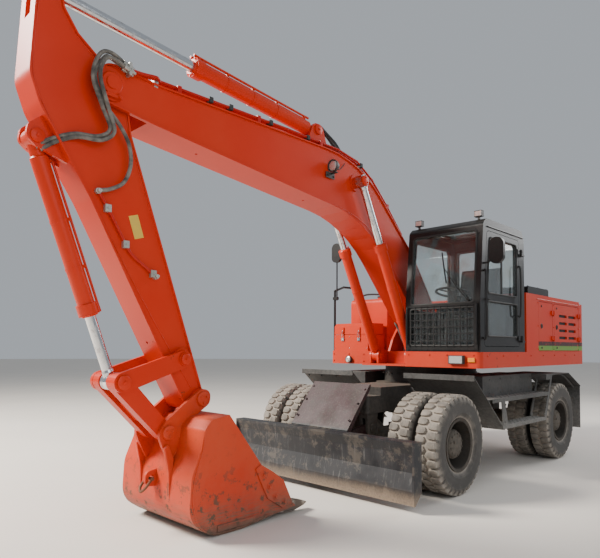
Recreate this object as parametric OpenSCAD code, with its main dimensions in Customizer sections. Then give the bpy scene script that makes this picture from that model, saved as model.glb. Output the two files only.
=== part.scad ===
// Wheeled excavator: a two-axle carrier on twin tyres with a blade, a slewing house with a
// cab, and a one-piece boom, an arm and a backhoe bucket worked by cylinders.
// +X points to the blade, +Y to the cab's side, +Z up, and z = 0 is the ground.

/* [Running gear] */
// Distance from the steering axle to the rear axle
wheelbase = 2860; // [2780:10:2900]
// Distance from the swing axis forward to the steering axle
front_axle_x = 1480; // [1460:5:1500]
// Radius of a tyre at the tips of its lugs
tyre_r = 515; // [505:5:520]
// Width of one tyre
tyre_w = 268; // [250:2:280]
// Distance between the two tyres of a pair, middle to middle
dual_pitch = 318; // [300:2:330]
// Distance from the machine's middle to the outer face of the outer tyre
half_track = 1236; // [1220:2:1250]
// Radius of the rim where the tyre's bead sits
rim_r = 254; // [245:1:260]
// Width of the rim between its flanges
rim_w = 204; // [190:2:210]
// Distance from the machine's middle to the kingpin
kingpin_y = 590; // [570:5:600]
// Radius of the planetary hub on each wheel
hub_r = 150; // [130:5:160]
// Radius of the axle's tube
axle_r = 95; // [80:5:105]
// Radius of the differential's housing
diff_r = 195; // [170:5:205]

/* [Chassis] */
// Height of the frame's underside over the axles
frame_z0 = 780; // [760:5:800]
// Height of the frame's top
frame_z1 = 1060; // [1040:5:1080]
// Half width of the frame over the axles
frame_hw = 315; // [290:5:320]
// Half width of the frame under the turret
frame_mid_hw = 520; // [480:10:560]
// Distance from the swing axis forward to the frame's front end
frame_front = 1840; // [1800:10:1860]
// Distance from the swing axis back to the frame's rear end
frame_rear = 1980; // [1900:10:2000]
// Outer radius of the swing bearing
ring_r = 600; // [560:10:620]
// Inner radius of the swing bearing's fixed race
race_r = 520; // [480:10:530]
// Thickness of the steel plate used for guards and steps
sheet = 8; // [6:1:10]
// Height of the upper step
step_hi_z = 940; // [900:10:960]
// Height of the lower step
step_lo_z = 620; // [580:10:660]

/* [Blade] */
// Distance from the swing axis to the blade's front face
blade_x = 2400; // [2390:5:2420]
// Half width of the blade
blade_hw = 1245; // [1200:5:1250]
// Height of the blade's cutting edge above the ground
blade_z0 = 70; // [50:5:90]
// Height of the blade's top
blade_z1 = 640; // [600:10:660]
// Distance from the swing axis to the blade's pivot
blade_pin_x = 1740; // [1720:5:1760]
// Height of the blade's pivot
blade_pin_z = 620; // [600:5:640]

/* [House] */
// Height of the platform's underside
deck_z0 = 1285; // [1275:1:1295]
// Height of the platform's top
deck_z1 = 1464; // [1450:2:1480]
// Half width of the platform
deck_hw = 1245; // [1220:5:1250]
// Distance from the swing axis to the platform's front end under the cab
deck_front = 1070; // [1040:5:1090]
// Distance from the swing axis to the platform's front end on the right
deck_front_r = 620; // [600:5:640]
// Distance from the swing axis back to the front face of the counterweight
weight_x = 2120; // [2080:10:2140]
// Radius of the tail's swing
tail_r = 2750; // [2700:10:2780]
// Height of the engine house's side at its outer edge
house_z = 2200; // [2150:10:2240]
// Thickness of the doors, the hood and the house's walls
panel_t = 30; // [24:1:36]
// Gap round a door or a lid
door_gap = 6; // [4:1:10]

/* [Cab] */
// Distance from the machine's middle to the cab's inner side
cab_y0 = 300; // [290:5:320]
// Distance from the machine's middle to the cab's outer side
cab_y1 = 1240; // [1220:5:1245]
// Distance from the swing axis to the cab's front
cab_front = 1065; // [1050:5:1070]
// Distance from the swing axis back to the cab's rear
cab_rear = 120; // [100:5:140]
// Height of the cab's roof
cab_z1 = 2950; // [2900:10:3000]
// Thickness of the cab's walls
cab_t = 45; // [40:1:50]
// Thickness of the window panes
glass_t = 6; // [5:1:8]

/* [Boom] */
// Sideways place of the boom, the arm and the bucket
boom_y = -50; // [-60:5:-45]
// Half width of the boom
boom_hw = 180; // [160:2:184]
// Distance from the swing axis to the boom's foot pin
foot_x = 150; // [140:5:160]
// Height of the boom's foot pin
foot_z = 1820; // [1800:5:1830]
// Distance from the swing axis to the pin between boom and arm
nose_x = 4820; // [4800:5:4830]
// Height of the pin between boom and arm
nose_z = 3490; // [3480:5:3500]
// Radius of the main pins
pin_r = 45; // [40:1:50]
// Thickness of the boom's top and bottom plates
boom_t = 14; // [10:1:18]

/* [Arm] */
// Half width of the arm
arm_hw = 140; // [120:2:145]
// Distance from the swing axis to the pin between arm and bucket
wrist_x = 3940; // [3930:5:3950]
// Height of the pin between arm and bucket
wrist_z = 1060; // [1050:5:1070]

/* [Bucket] */
// Half width of the bucket
bucket_hw = 510; // [480:10:540]
// Thickness of the bucket's side plates
bucket_t = 25; // [20:1:30]
// Thickness of the bucket's wrapper
wrapper_t = 22; // [18:1:26]
// Number of teeth on the bucket
teeth = 5; // [4:1:6]

/* [Cylinders] */
// Half the distance between the two boom cylinders
cyl_spread = 265; // [262:1:268]
// Outer radius of a boom cylinder's tube
boom_cyl_r = 62; // [55:1:64]
// Radius of a boom cylinder's rod
boom_rod_r = 40; // [35:1:42]
// Outer radius of the arm cylinder's tube
arm_cyl_r = 72; // [65:1:76]
// Radius of the arm cylinder's rod
arm_rod_r = 48; // [42:1:50]
// Outer radius of the bucket cylinder's tube
bucket_cyl_r = 65; // [58:1:68]
// Radius of the bucket cylinder's rod
bucket_rod_r = 42; // [36:1:44]

/* [Hidden] */
$fn = 48;

// Clearance between faces that slide or turn on each other
run = 0.3;
// Distance from the swing axis to the foremost point of the arm's front edge
reach_front = 5440;
// The swing axis is set back so that the whole machine stands centred on the origin
slew_x = -(reach_front - tail_r) / 2;
// The mirror on the left reaches farther out than the rail on the right
slew_y = -125;

rear_axle_x = front_axle_x - wheelbase;
wheel_z = tyre_r;
// Middle of a pair of tyres, where both wheel discs are bolted to the hub
pair_y = half_track - tyre_w / 2 - dual_pitch / 2;
disc_t = 16;
spindle_r = 60;

orange = [0.90, 0.25, 0.12];
black = [0.07, 0.07, 0.08];
steel = [0.62, 0.63, 0.65];
rubber = [0.13, 0.12, 0.11];
worn = [0.33, 0.29, 0.26];
glass = [0.45, 0.58, 0.62, 0.5];

// A point between two others
function mix(a, b, t) = a + (b - a) * t;
function unit(v) = v / norm(v);
// Points of an arc round c
function arc(c, r, a0, a1, n = 8) =
    [for (i = [0:n]) let (a = a0 + (a1 - a0) * i / n) c + r * [cos(a), sin(a)]];
// The arc that rounds the corner b between a and c
function corner(a, b, c, r, n) =
    let (u = unit(a - b), w = unit(c - b), half = acos(u * w) / 2,
         mid = b + unit(u + w) * r / sin(half),
         p = b + u * r / tan(half) - mid,
         turn = (180 - 2 * half) * sign(cross(u, w)) * -1)
    [for (i = [0:n]) let (a = turn * i / n)
        mid + [p.x * cos(a) - p.y * sin(a), p.x * sin(a) + p.y * cos(a)]];
function xy(p) = [p[0], p[1]];
// An outline from a table with the columns x, z, corner radius
function rounded(table, n = 6) = let (k = len(table))
    [for (i = [0:k - 1]) let (b = table[i])
        each (b[2] > 0
            ? corner(xy(table[(i + k - 1) % k]), xy(b), xy(table[(i + 1) % k]), b[2], n)
            : [xy(b)])];
function side_normal(a, b) = let (d = unit(b - a)) [-d.y, d.x];
// Where the lines p + t u and q + s w meet
function meet(p, u, q, w) = p + u * cross(q - p, w) / cross(u, w);
// The same table drawn in by d, for a table that runs anticlockwise
function inset(table, d) = let (k = len(table))
    [for (i = [0:k - 1])
        let (a = xy(table[(i + k - 1) % k]), b = xy(table[i]), c = xy(table[(i + 1) % k]),
             r = table[i][2], convex = cross(b - a, c - b) > 0,
             p = meet(a + side_normal(a, b) * d, b - a, b + side_normal(b, c) * d, c - b))
        [p.x, p.y, r > 0 ? max(convex ? r - d : r + d, 0.5) : 0]];

// Stands the whole machine on the origin
module placed() translate([slew_x, slew_y, 0]) children();
// A plate cut to an outline of x and z, from y0 to y1
module plate(points, y0, y1)
    translate([0, y1, 0]) rotate([90, 0, 0]) linear_extrude(y1 - y0) polygon(points);
// A round bar along Y
module bar_y(x, z, r, y0, y1)
    translate([x, y0, z]) rotate([-90, 0, 0]) cylinder(r = r, h = y1 - y0);
// A block between two corners
module block(a, b) translate(a) cube(b - a);
// Both sides of the boom's middle plane
module both_sides() {
    translate([0, boom_y, 0]) children();
    translate([0, boom_y, 0]) mirror([0, 1, 0]) children();
}
// Both sides of the machine's middle plane
module left_and_right() {
    children();
    mirror([0, 1, 0]) children();
}
// A round bar between two points of one plane of constant y
module bar_xz(a, b, y, r, from = 0, to = 0) {
    along = norm(b - a);
    translate([a.x, y, a.y]) rotate([0, 90 - atan2(b.y - a.y, b.x - a.x), 0])
        translate([0, 0, from]) cylinder(r = r, h = (to == 0 ? along : to) - from);
}
// A bar that turns round sections about the line from a to b; rows: distance, radius
module turned_xz(a, b, y, rows)
    translate([a.x, y, a.y]) rotate([0, 90 - atan2(b.y - a.y, b.x - a.x), 0])
        rotate_extrude() polygon(concat([[0, rows[0][0]]],
            [for (q = rows) [q[1], q[0]]], [[0, rows[len(rows) - 1][0]]]));
// A tube between two points in space
module rod3(a, b, r) {
    d = b - a;
    translate(a) rotate([0, acos(d.z / norm(d)), atan2(d.y, d.x)]) cylinder(r = r, h = norm(d));
}
// A bent rail: straight tubes with a ball at each bend
module rail(points, r) {
    for (i = [0:len(points) - 2]) rod3(points[i], points[i + 1], r);
    for (i = [1:len(points) - 2]) translate(points[i]) sphere(r = r * 1.12);
}
// A plate link with a round eye at each end
module strap(a, b, ra, rb, y0, y1) {
    d = b - a;
    turn = atan2(d.y, d.x);
    lean = asin((ra - rb) / norm(d));
    plate(concat(arc(a, ra, turn + 90 - lean, turn + 270 + lean, 12),
        arc(b, rb, turn - 90 + lean, turn + 90 - lean, 12)), y0, y1);
}

// Wheels
rim_in_r = rim_r - 14;
flange_r = rim_r + 20;
// Half of one rim's section; columns: radius, distance from the rim's middle
function rim_section(c, s) = [
    [rim_in_r, c - s * rim_w / 2], [flange_r, c - s * (rim_w / 2 + 8)],
    [flange_r, c - s * (rim_w / 2 - 6)], [rim_r, c - s * (rim_w / 2 - 14)],
    [rim_r, c + s * (rim_w / 2 - 14)], [flange_r, c + s * (rim_w / 2 - 6)],
    [flange_r, c + s * (rim_w / 2 + 8)], [rim_in_r, c + s * rim_w / 2]];
// Both rims of a pair with their discs and the planetary hub, turned about the wheel's axis
module rim_pair() {
    half = dual_pitch / 2;
    rotate([-90, 0, 0]) difference() {
        union() {
            for (s = [-1, 1]) {
                rotate_extrude() polygon(rim_section(s * half, s));
                rotate_extrude() polygon([[hub_r - 20, 0], [rim_in_r - 45, 0],
                    [rim_in_r + 4, s * (half - rim_w / 2 + 4)],
                    [rim_in_r + 4, s * (half - rim_w / 2 + 4 + disc_t)],
                    [rim_in_r - 45, s * disc_t], [hub_r - 20, s * disc_t]]);
            }
            rotate_extrude() polygon([[0, -disc_t], [hub_r, -disc_t], [hub_r, 60],
                [hub_r - 18, 95], [hub_r - 50, 110], [hub_r - 55, 150], [0, 150]]);
        }
        translate([0, 0, -disc_t - 1]) cylinder(r = spindle_r + run, h = 80);
    }
}
// One tyre's section, out to the tips of its lugs; columns: radius, side, corner radius
tyre_rows = [[rim_r + run, -rim_w / 2 + 16, 0], [rim_r + run, rim_w / 2 - 16, 0],
    [flange_r + 14, rim_w / 2 - 12, 0], [flange_r + 45, tyre_w / 2 - 6, 30],
    [tyre_r - 110, tyre_w / 2, 40], [tyre_r - 40, tyre_w / 2 - 8, 0],
    [tyre_r, tyre_w / 2 - 34, 0], [tyre_r, -tyre_w / 2 + 34, 0],
    [tyre_r - 40, -tyre_w / 2 + 8, 0], [tyre_r - 110, -tyre_w / 2, 40],
    [flange_r + 45, -tyre_w / 2 + 6, 30], [flange_r + 14, -rim_w / 2 + 12, 0]];
module tyre_pair()
    for (s = [-1, 1]) rotate([-90, 0, 0]) translate([0, 0, s * dual_pitch / 2])
        rotate_extrude($fn = 40) polygon(rounded(tyre_rows, 2));
module at_wheel(x, side)
    placed() translate([x, 0, wheel_z]) mirror([0, side < 0 ? 1 : 0, 0])
        translate([0, pair_y, 0]) children();

// Axles
fork_z = 115;
ear_t = 50;
carrier_end = pair_y - disc_t - run;
module axle_body() {
    tube = kingpin_y - 145;
    rotate([-90, 0, 0]) rotate([0, 0, 40]) rotate_extrude() polygon([[0, -tube], [axle_r, -tube],
        [axle_r, -diff_r * 1.3], [diff_r * 0.9, -diff_r * 0.75], [diff_r, -85], [diff_r, 85],
        [diff_r * 0.9, diff_r * 0.75], [axle_r, diff_r * 1.3], [axle_r, tube], [0, tube]]);
}
module front_axle() color(black) placed() translate([front_axle_x, 0, wheel_z]) {
    difference() {
        union() {
            axle_body();
            left_and_right() translate([0, 0, -fork_z - ear_t])
                linear_extrude(2 * (fork_z + ear_t)) fork_plan();
        }
        left_and_right() block([-120, kingpin_y - 140, -fork_z], [120, kingpin_y + 120, fork_z]);
        left_and_right() translate([0, kingpin_y, -fork_z - ear_t - 1])
            cylinder(r = 40 + run, h = 2 * (fork_z + ear_t) + 2);
    }
    // Trunnion boss on which the frame's pivot plates sit
    for (x = [-diff_r - 40, diff_r - 30]) translate([x, 0, 0]) rotate([0, 90, 0])
        cylinder(r = 70, h = 70);
    // Steering cylinder behind the beam
    difference() {
        union() {
            translate([-150, -330, steer_z]) rotate([-90, 0, 0]) cylinder(r = 42, h = 660);
            left_and_right() block([-170, 270, steer_z - 30], [-60, 300, -30]);
        }
        translate([-150, -340, steer_z]) rotate([-90, 0, 0]) cylinder(r = 22 + run, h = 680);
    }
}
// Outline of one fork in plan
module fork_plan() polygon(concat([[-80, kingpin_y - 200]],
    [for (p = arc([0, kingpin_y], 80, 0, 180, 12)) [-p.x, p.y]], [[80, kingpin_y - 200]]));
arm_len = 190;
steer_z = -190;
module knuckle(side) color(black) placed() translate([front_axle_x, 0, wheel_z])
    mirror([0, side < 0 ? 1 : 0, 0]) {
            translate([0, kingpin_y, -fork_z + run]) cylinder(r = 78, h = 2 * (fork_z - run));
            translate([0, kingpin_y, -fork_z - ear_t]) cylinder(r = 40, h = 2 * (fork_z + ear_t));
            translate([0, kingpin_y, 0]) rotate([-90, 0, 0])
                cylinder(r = 105, h = carrier_end - kingpin_y);
            translate([0, carrier_end - 40, 0]) rotate([-90, 0, 0]) cylinder(r = 140, h = 40);
            translate([0, carrier_end - 1, 0]) rotate([-90, 0, 0]) cylinder(r = spindle_r, h = 60);
            // Steering arm to the rear
            translate([0, 0, -85]) linear_extrude(50) polygon(concat(
                [[-40, kingpin_y + 60]],
                arc([-arm_len, kingpin_y - 20], 35, 90, 270, 8), [[-40, kingpin_y - 60]]));
    }
module steering_rod() color(steel) placed() translate([front_axle_x - 150, 0, wheel_z + steer_z]) {
    translate([0, -475, 0]) rotate([-90, 0, 0]) cylinder(r = 22, h = 950);
    left_and_right() {
        block([-30, 450, -26], [26, 480, -85 - run - steer_z]);
        block([-70, 450, -125 - steer_z], [20, kingpin_y + 15, -85 - run - steer_z]);
    }
}
module rear_axle() color(black) placed() translate([rear_axle_x, 0, wheel_z]) {
    axle_body();
    left_and_right() {
        translate([0, kingpin_y - 150, 0]) rotate([-90, 0, 0])
            cylinder(r = 120, h = carrier_end - kingpin_y + 150);
        translate([0, carrier_end - 40, 0]) rotate([-90, 0, 0]) cylinder(r = 140, h = 40);
        translate([0, carrier_end - 1, 0]) rotate([-90, 0, 0]) cylinder(r = spindle_r, h = 60);
        // Spring-less seats that carry the frame
        block([-110, 230, 0], [110, 300, frame_z0 - wheel_z]);
    }
    // Gearbox and travel motor ahead of the differential, and the shaft to the front axle
    block([diff_r - 60, -170, -110], [620, 170, 170]);
    translate([619, 0, 0]) rotate([0, 90, 0]) cylinder(r = 105, h = 161);
    translate([779, 0, 0]) rotate([0, 90, 0])
        cylinder(r = 38, h = wheelbase - 779 - diff_r - 80);
    translate([wheelbase - diff_r - 100, 0, 0]) rotate([0, 90, 0]) cylinder(r = 62, h = 60 - run);
}

// Chassis
// Half of the frame's plan; columns: x, y, corner radius
frame_rows = [[-frame_rear, -frame_hw, 40], [-850, -frame_hw, 200], [-560, -frame_mid_hw, 200],
    [520, -frame_mid_hw, 200], [800, -frame_hw, 200], [frame_front, -frame_hw, 40],
    [frame_front, frame_hw, 40], [800, frame_hw, 200], [520, frame_mid_hw, 200],
    [-560, frame_mid_hw, 200], [-850, frame_hw, 200], [-frame_rear, frame_hw, 40]];
module chassis_frame() {
    frame_body();
    blade_pins();
}
module frame_body() color(black) placed() difference() {
    union() {
        translate([0, 0, frame_z0]) linear_extrude(frame_z1 - frame_z0)
            polygon(rounded(frame_rows));
        // Belly under the turret, lower than the frame over the axles
        block([-480, -300, frame_z0 - 130], [560, 300, frame_z0 + 1]);
        translate([0, 0, frame_z1 - 1]) cylinder(r1 = ring_r + 15, r2 = ring_r + 10, h = 141);
        translate([0, 0, frame_z1 + 139]) cylinder(r = ring_r, h = deck_z0 - run - frame_z1 - 139);
        // Pivot plates of the oscillating front axle
        for (s = [-1, 1]) translate([front_axle_x + s * (diff_r + 20) - 15, 0, 0])
            rotate([90, 0, 90]) linear_extrude(30) polygon([[-130, frame_z0 + 5],
                [-95, wheel_z - 40], [-60, wheel_z - 95], [60, wheel_z - 95],
                [95, wheel_z - 40], [130, frame_z0 + 5]]);
        // Ears that carry the blade's arms
        for (y = [-300, 190]) plate(rounded([[blade_pin_x - 110, frame_z0 + 5, 0],
            [blade_pin_x - 75, blade_pin_z - 75, 60], [blade_pin_x + 75, blade_pin_z - 75, 60],
            [frame_front - 10, frame_z0 + 5, 0]]), y, y + 110);
        // Lugs of the blade cylinders on the frame's nose
        for (y = [-110, -40, 10, 80]) plate(rounded([[frame_front - 40, 850, 0],
            [blade_cyl_foot.x + 40, 850, 40], [blade_cyl_foot.x + 40, 955, 40],
            [frame_front - 40, 955, 0]]), y, y + 30);
        // Tow tongue at the rear
        block([-tow_x - 60, -80, 880], [-frame_rear + 10, 80, 940]);
        // Cross beams to the side decks
        for (x = [-640, 330]) block([x, -deck_in_y, 900], [x + 120, deck_in_y, 1000]);
    }
    // Seat of the swing bearing's turning race
    translate([0, 0, deck_z0 - 75 - run]) cylinder(r = race_r + run, h = 100);
    translate([-tow_x, 0, 870]) cylinder(r = 25, h = 80);
    // The nose is lower under the blade's cover
    block([1600, -frame_hw - 1, 970], [frame_front + 1, frame_hw + 1, frame_z1 + 1]);
    for (s = [-1, 1]) translate([front_axle_x + s * (diff_r + 20) - 16, 0, wheel_z])
        rotate([0, 90, 0]) cylinder(r = 70 + run, h = 32);
    // Slots that take the blade's arms between the two halves of each ear
    for (y = [-270, 220]) bar_y(blade_pin_x, blade_pin_z, 135, y, y + 50);
    bar_y(blade_cyl_foot.x, blade_cyl_foot.y, 20 + run, -120, 120);
}
tow_x = 2050;
module blade_pins() color(black) placed() left_and_right()
    bar_y(blade_pin_x, blade_pin_z, 30, 195, 295);
// Side decks
deck_in_y = 620;
guard_top = [1230, 1195];
guard_foot = [480, 570];
fender_rows = [[-1090, 1160], [-1640, 1160], [-2130, 960]];
module side_deck() {
    lean = unit(guard_foot - guard_top);
    step = [-lean.y, lean.x] * sheet;
    // Sloping guard behind the front tyres, with a flange along its top
    plate([guard_top, guard_foot, guard_foot - step, guard_top - step], frame_hw + 60, deck_hw);
    block([guard_top.x - 10, frame_hw + 60, guard_top.y - 40],
        [guard_top.x, deck_hw, guard_top.y + 20]);
    // Bracket that ties the guard's inner edge to the frame
    block([920, frame_hw, 945], [1000, frame_hw + 70, 1035]);
    // Closed box between the axles
    block([-800, deck_in_y, step_hi_z - 30], [640, deck_hw - 190, 1180]);
    // Two steps on flanged plates
    block([-900, deck_hw - 200, step_hi_z - 8], [912, deck_hw, step_hi_z]);
    block([-900, deck_hw - 8, step_hi_z - 45], [790, deck_hw, step_hi_z]);
    block([-760, deck_hw - 190, step_lo_z - 8], [530, deck_hw, step_lo_z]);
    block([-760, deck_hw - 8, step_lo_z - 40], [500, deck_hw, step_lo_z]);
    for (y = [deck_hw - 190, deck_hw - 9]) plate([[-770, step_lo_z - 40], [-700, step_lo_z - 40],
        [-860, step_hi_z], [-960, 1165], [-1010, 1165], [-930, step_hi_z]], y, y + 9);
    for (y = [deck_hw - 190, deck_hw - 9]) plate([[380, step_lo_z - 40], [520, step_lo_z - 40],
        [560, step_hi_z], [480, step_hi_z]], y, y + 9);
    // Rear guard over the tyres, with its flap
    plate([[-950, 1160], fender_rows[1], fender_rows[2], fender_rows[2] + [4, 10],
        fender_rows[1] + [2, 10], [-950, 1170]], 620, deck_hw);
    block([-960, deck_in_y, 1100], [-790, deck_hw, 1170]);
    block([fender_rows[2].x - 10, 630, 350], [fender_rows[2].x, deck_hw - 10, 968]);
}
module deck_left() color(black) placed() side_deck();
module deck_right() color(black) placed() mirror([0, 1, 0]) side_deck();

// Blade
blade_back = blade_x - 130;
blade_cyl_foot = [frame_front + 35, 905];
blade_eye = [blade_back - 20, 440];
// Section of the mouldboard; columns: x, z
blade_rows = [[blade_x - 26, blade_z0], [blade_x - 6, blade_z0], [blade_x, blade_z0 + 130],
    [blade_x - 42, blade_z0 + 290], [blade_x - 34, blade_z1 - 110], [blade_x, blade_z1 - 20],
    [blade_x, blade_z1], [blade_back, blade_z1], [blade_back, blade_z1 - 90],
    [blade_x - 70, blade_z1 - 130], [blade_x - 76, blade_z0 + 290], [blade_x - 60, blade_z0 + 150],
    [blade_back + 10, blade_z0 + 150], [blade_back + 10, blade_z0 + 110]];
module blade() color(worn) placed() difference() {
    union() {
        plate(blade_rows, -blade_hw, blade_hw);
        for (y = [-blade_hw, blade_hw - 20]) plate([[blade_x - 26, blade_z0], [blade_x, blade_z0],
            [blade_x, blade_z1], [blade_back, blade_z1], [blade_back, blade_z0 + 110]], y, y + 20);
        // Arms
        for (y = [-267, 223]) plate(rounded([
            [blade_pin_x - 62, blade_pin_z - 62, 61], [blade_pin_x + 100, blade_pin_z - 160, 60],
            [blade_back + 30, blade_z0 + 110, 0], [blade_x - 60, blade_z0 + 400, 0],
            [blade_back - 60, blade_pin_z - 40, 60], [blade_pin_x - 62, blade_pin_z + 62, 61]]),
            y, y + 44);
        block([blade_back - 120, -267, 250], [blade_back - 90, 267, 330]);
        for (y = [-110, -40, 10, 80]) plate(rounded([[blade_back + 60, 375, 0],
            [blade_back + 60, 505, 0], [blade_eye.x - 46, 488, 45], [blade_eye.x - 46, 392, 45]]),
            y, y + 30);
        // Cover over the cylinders, from the blade's top back to the frame's nose
        plate([[blade_back + 10, blade_z1 - 2], [blade_back + 10, blade_z1 + 12],
            [1890, 1108], [1870, 1100]], -420, 380);
        plate([[blade_back + 10, blade_z1 - 2], [1870, 1100], [1880, 1060],
            [blade_back - 10, blade_z1 - 50]], 368, 380);
        plate([[blade_back + 10, blade_z1 - 2], [1870, 1100], [1880, 1060],
            [blade_back - 10, blade_z1 - 50]], -420, -408);
    }
    bar_y(blade_pin_x, blade_pin_z, 30 + run, -blade_hw, blade_hw);
}
// A cylinder's tube from its foot pin towards its rod's eye, with a bore that the rod slides in
module cyl_tube(foot, eye, y, r, rod_r, tube_len, eye_w, pin, neck) difference() {
    union() {
        turned_xz(foot, eye, y, [[pin * 1.2, eye_w / 2 - 1], [neck, eye_w / 2 - 1], [neck + 12, r],
            [tube_len - r * 1.5, r], [tube_len - r * 1.5, r * 1.22],
            [tube_len - r * 0.3, r * 1.22], [tube_len, r * 0.95]]);
        bar_y(foot.x, foot.y, pin * 1.75, y - eye_w / 2, y + eye_w / 2);
    }
    bar_y(foot.x, foot.y, pin + run, y - eye_w, y + eye_w);
    bar_xz(foot, eye, y, rod_r + run, max(pin * 2.6, neck + 14), tube_len + 1);
}
// The rod of a cylinder from inside its tube to its eye
module cyl_rod(foot, eye, y, rod_r, from, eye_w, eye_r) {
    shank = min(rod_r * 1.25, eye_w / 2 - run);
    turned_xz(foot, eye, y, [[from, rod_r], [norm(eye - foot) - eye_r * 1.5, rod_r],
        [norm(eye - foot) - eye_r * 1.2, shank], [norm(eye - foot) - 1, shank]]);
    bar_y(eye.x, eye.y, eye_r, y - eye_w / 2, y + eye_w / 2);
}
blade_cyl_r = 45;
blade_rod_r = 19;
module blade_cylinders() color(orange) placed() for (y = [-60, 60])
    cyl_tube(blade_cyl_foot, blade_eye, y, blade_cyl_r, blade_rod_r, 350, 39.4, 20, 60);
module blade_rods() color(steel) placed() for (y = [-60, 60])
    cyl_rod(blade_cyl_foot, blade_eye, y, blade_rod_r, 238, 39.4, 32);

// House
// Outline of the platform in plan; columns: x, y, corner radius
channel_y0 = boom_y - cyl_spread - 75;
channel_y1 = cab_y0 - 12;
channel_front = 660;
deck_rows = [[-weight_x, -deck_hw, 0], [deck_front_r, -deck_hw, 60],
    [deck_front_r, channel_y0, 0], [channel_front, channel_y0, 0],
    [channel_front, channel_y1, 0], [deck_front, channel_y1, 20],
    [deck_front, deck_hw, 60], [-weight_x, deck_hw, 0]];
// Recesses under the side decks; columns: x0, x1, y0, y1
pockets = [[-2040, -1300, 330, 1200], [-1260, -520, 640, 1200], [-480, 260, 640, 1200],
    [300, 1020, 330, 1200], [-2040, -1300, -1200, -330], [-1260, -520, -1200, -640],
    [-480, 580, -1200, -640]];
pocket_h = 120;
bracket_y = 196;
bracket_t = 32;
bracket_rows = [[-520, deck_z1 - 5, 0], [600, deck_z1 - 5, 0], [520, 1620, 120],
    [foot_x + 195, foot_z + 20, 180], [foot_x + 40, foot_z + 190, 180],
    [foot_x - 190, foot_z + 60, 180], [-460, 1600, 120]];
boom_cyl_foot = [790, 1405];
boom_eye = [1820, 3375];
cyl_ear_y = 45;
toolbox_x0 = 210;
toolbox_z = 1850;
toolbox_y = -600;
module platform() color(orange) placed() difference() {
    union() {
        translate([0, 0, deck_z0]) linear_extrude(deck_z1 - deck_z0) polygon(rounded(deck_rows));
        translate([0, 0, deck_z0 - 75]) cylinder(r = race_r, h = 76);
        // Lip under the feet of the boom cylinders
        block([channel_front - 5, channel_y0, deck_z0], [deck_front - 60, channel_y1 + 1, deck_z0 + 20]);
        // Brackets of the boom's foot pin
        both_sides() plate(rounded(bracket_rows), bracket_y, bracket_y + bracket_t);
        both_sides() bar_y(foot_x, foot_z, 105, bracket_y - 12, bracket_y + bracket_t + 14);
        translate([0, boom_y, 0]) bar_y(foot_x, foot_z, pin_r, -bracket_y - 5, bracket_y + 5);
        // Ears and pins of the boom cylinders
        both_sides() for (y = [-cyl_ear_y - 26, cyl_ear_y]) translate([0, cyl_spread + y, 0])
            plate(rounded([[channel_front - 10, deck_z0 + 10, 0], [boom_cyl_foot.x + 70, deck_z0 + 10, 30],
                [boom_cyl_foot.x + 75, boom_cyl_foot.y + 70, 70],
                [boom_cyl_foot.x - 70, boom_cyl_foot.y + 75, 60], [channel_front - 10, deck_z1 + 10, 0]]),
                0, 26);
        both_sides() bar_y(boom_cyl_foot.x, boom_cyl_foot.y, 38,
            cyl_spread - cyl_ear_y - 24, cyl_spread + cyl_ear_y + 24);
        // Toolbox on the right front corner, open at its top
        difference() {
            block([toolbox_x0, -deck_hw + 50, deck_z1 - 5], [deck_front_r - 15, toolbox_y, toolbox_z - 160]);
            block([toolbox_x0 + 25, -deck_hw + 75, deck_z1 + 10],
                [deck_front_r - 40, toolbox_y - 25, toolbox_z]);
        }
        block([toolbox_x0, -deck_hw + 50, toolbox_z - 165], [toolbox_x0 + 25, toolbox_y, toolbox_z - 40]);
        bar_y(toolbox_x0 + 12, toolbox_z - 20, 9, -deck_hw + 90, toolbox_y - 40);
        for (y = [-deck_hw + 130, toolbox_y - 100]) block([toolbox_x0, y, toolbox_z - 45],
            [toolbox_x0 + 24, y + 30, toolbox_z - 12]);
    }
    for (q = pockets) block([q[0], q[2], deck_z0 - 1], [q[1], q[3], deck_z0 + pocket_h]);
}
lid_rows = [[toolbox_x0 + 30, toolbox_z - 155, 0], [deck_front_r - 15, toolbox_z - 155, 0],
    [deck_front_r - 20, toolbox_z - 40, 0], [deck_front_r - 60, toolbox_z, 30],
    [toolbox_x0 + 30, toolbox_z, 0]];
module toolbox_lid() color(orange) placed() {
    difference() {
        plate(rounded(lid_rows), -deck_hw + 52, toolbox_y - 2);
        plate([for (p = [[toolbox_x0, toolbox_z - 160], [deck_front_r - 45, toolbox_z - 160],
            [deck_front_r - 75, toolbox_z - 25], [toolbox_x0, toolbox_z - 25]]) p],
            -deck_hw + 77, toolbox_y - 27);
        for (y = [-deck_hw + 125, toolbox_y - 105]) block([toolbox_x0, y, toolbox_z - 60],
            [toolbox_x0 + 45, y + 40, toolbox_z + 1]);
    }
    // Hinge leaves round the rod on the box
    for (y = [-deck_hw + 220, toolbox_y - 240]) difference() {
        union() {
            bar_y(toolbox_x0 + 12, toolbox_z - 20, 18, y, y + 90);
            block([toolbox_x0 + 12, y, toolbox_z - 20], [toolbox_x0 + 60, y + 90, toolbox_z - 3]);
        }
        bar_y(toolbox_x0 + 12, toolbox_z - 20, 9 + run, y - 1, y + 91);
    }
    // Latches
    for (y = [-deck_hw + 190, toolbox_y - 170]) {
        block([deck_front_r - 18, y, toolbox_z - 130], [deck_front_r - 2, y + 40, toolbox_z - 60]);
        block([deck_front_r - 10, y + 5, toolbox_z - 200], [deck_front_r - 2, y + 35, toolbox_z - 128]);
    }
}
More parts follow.
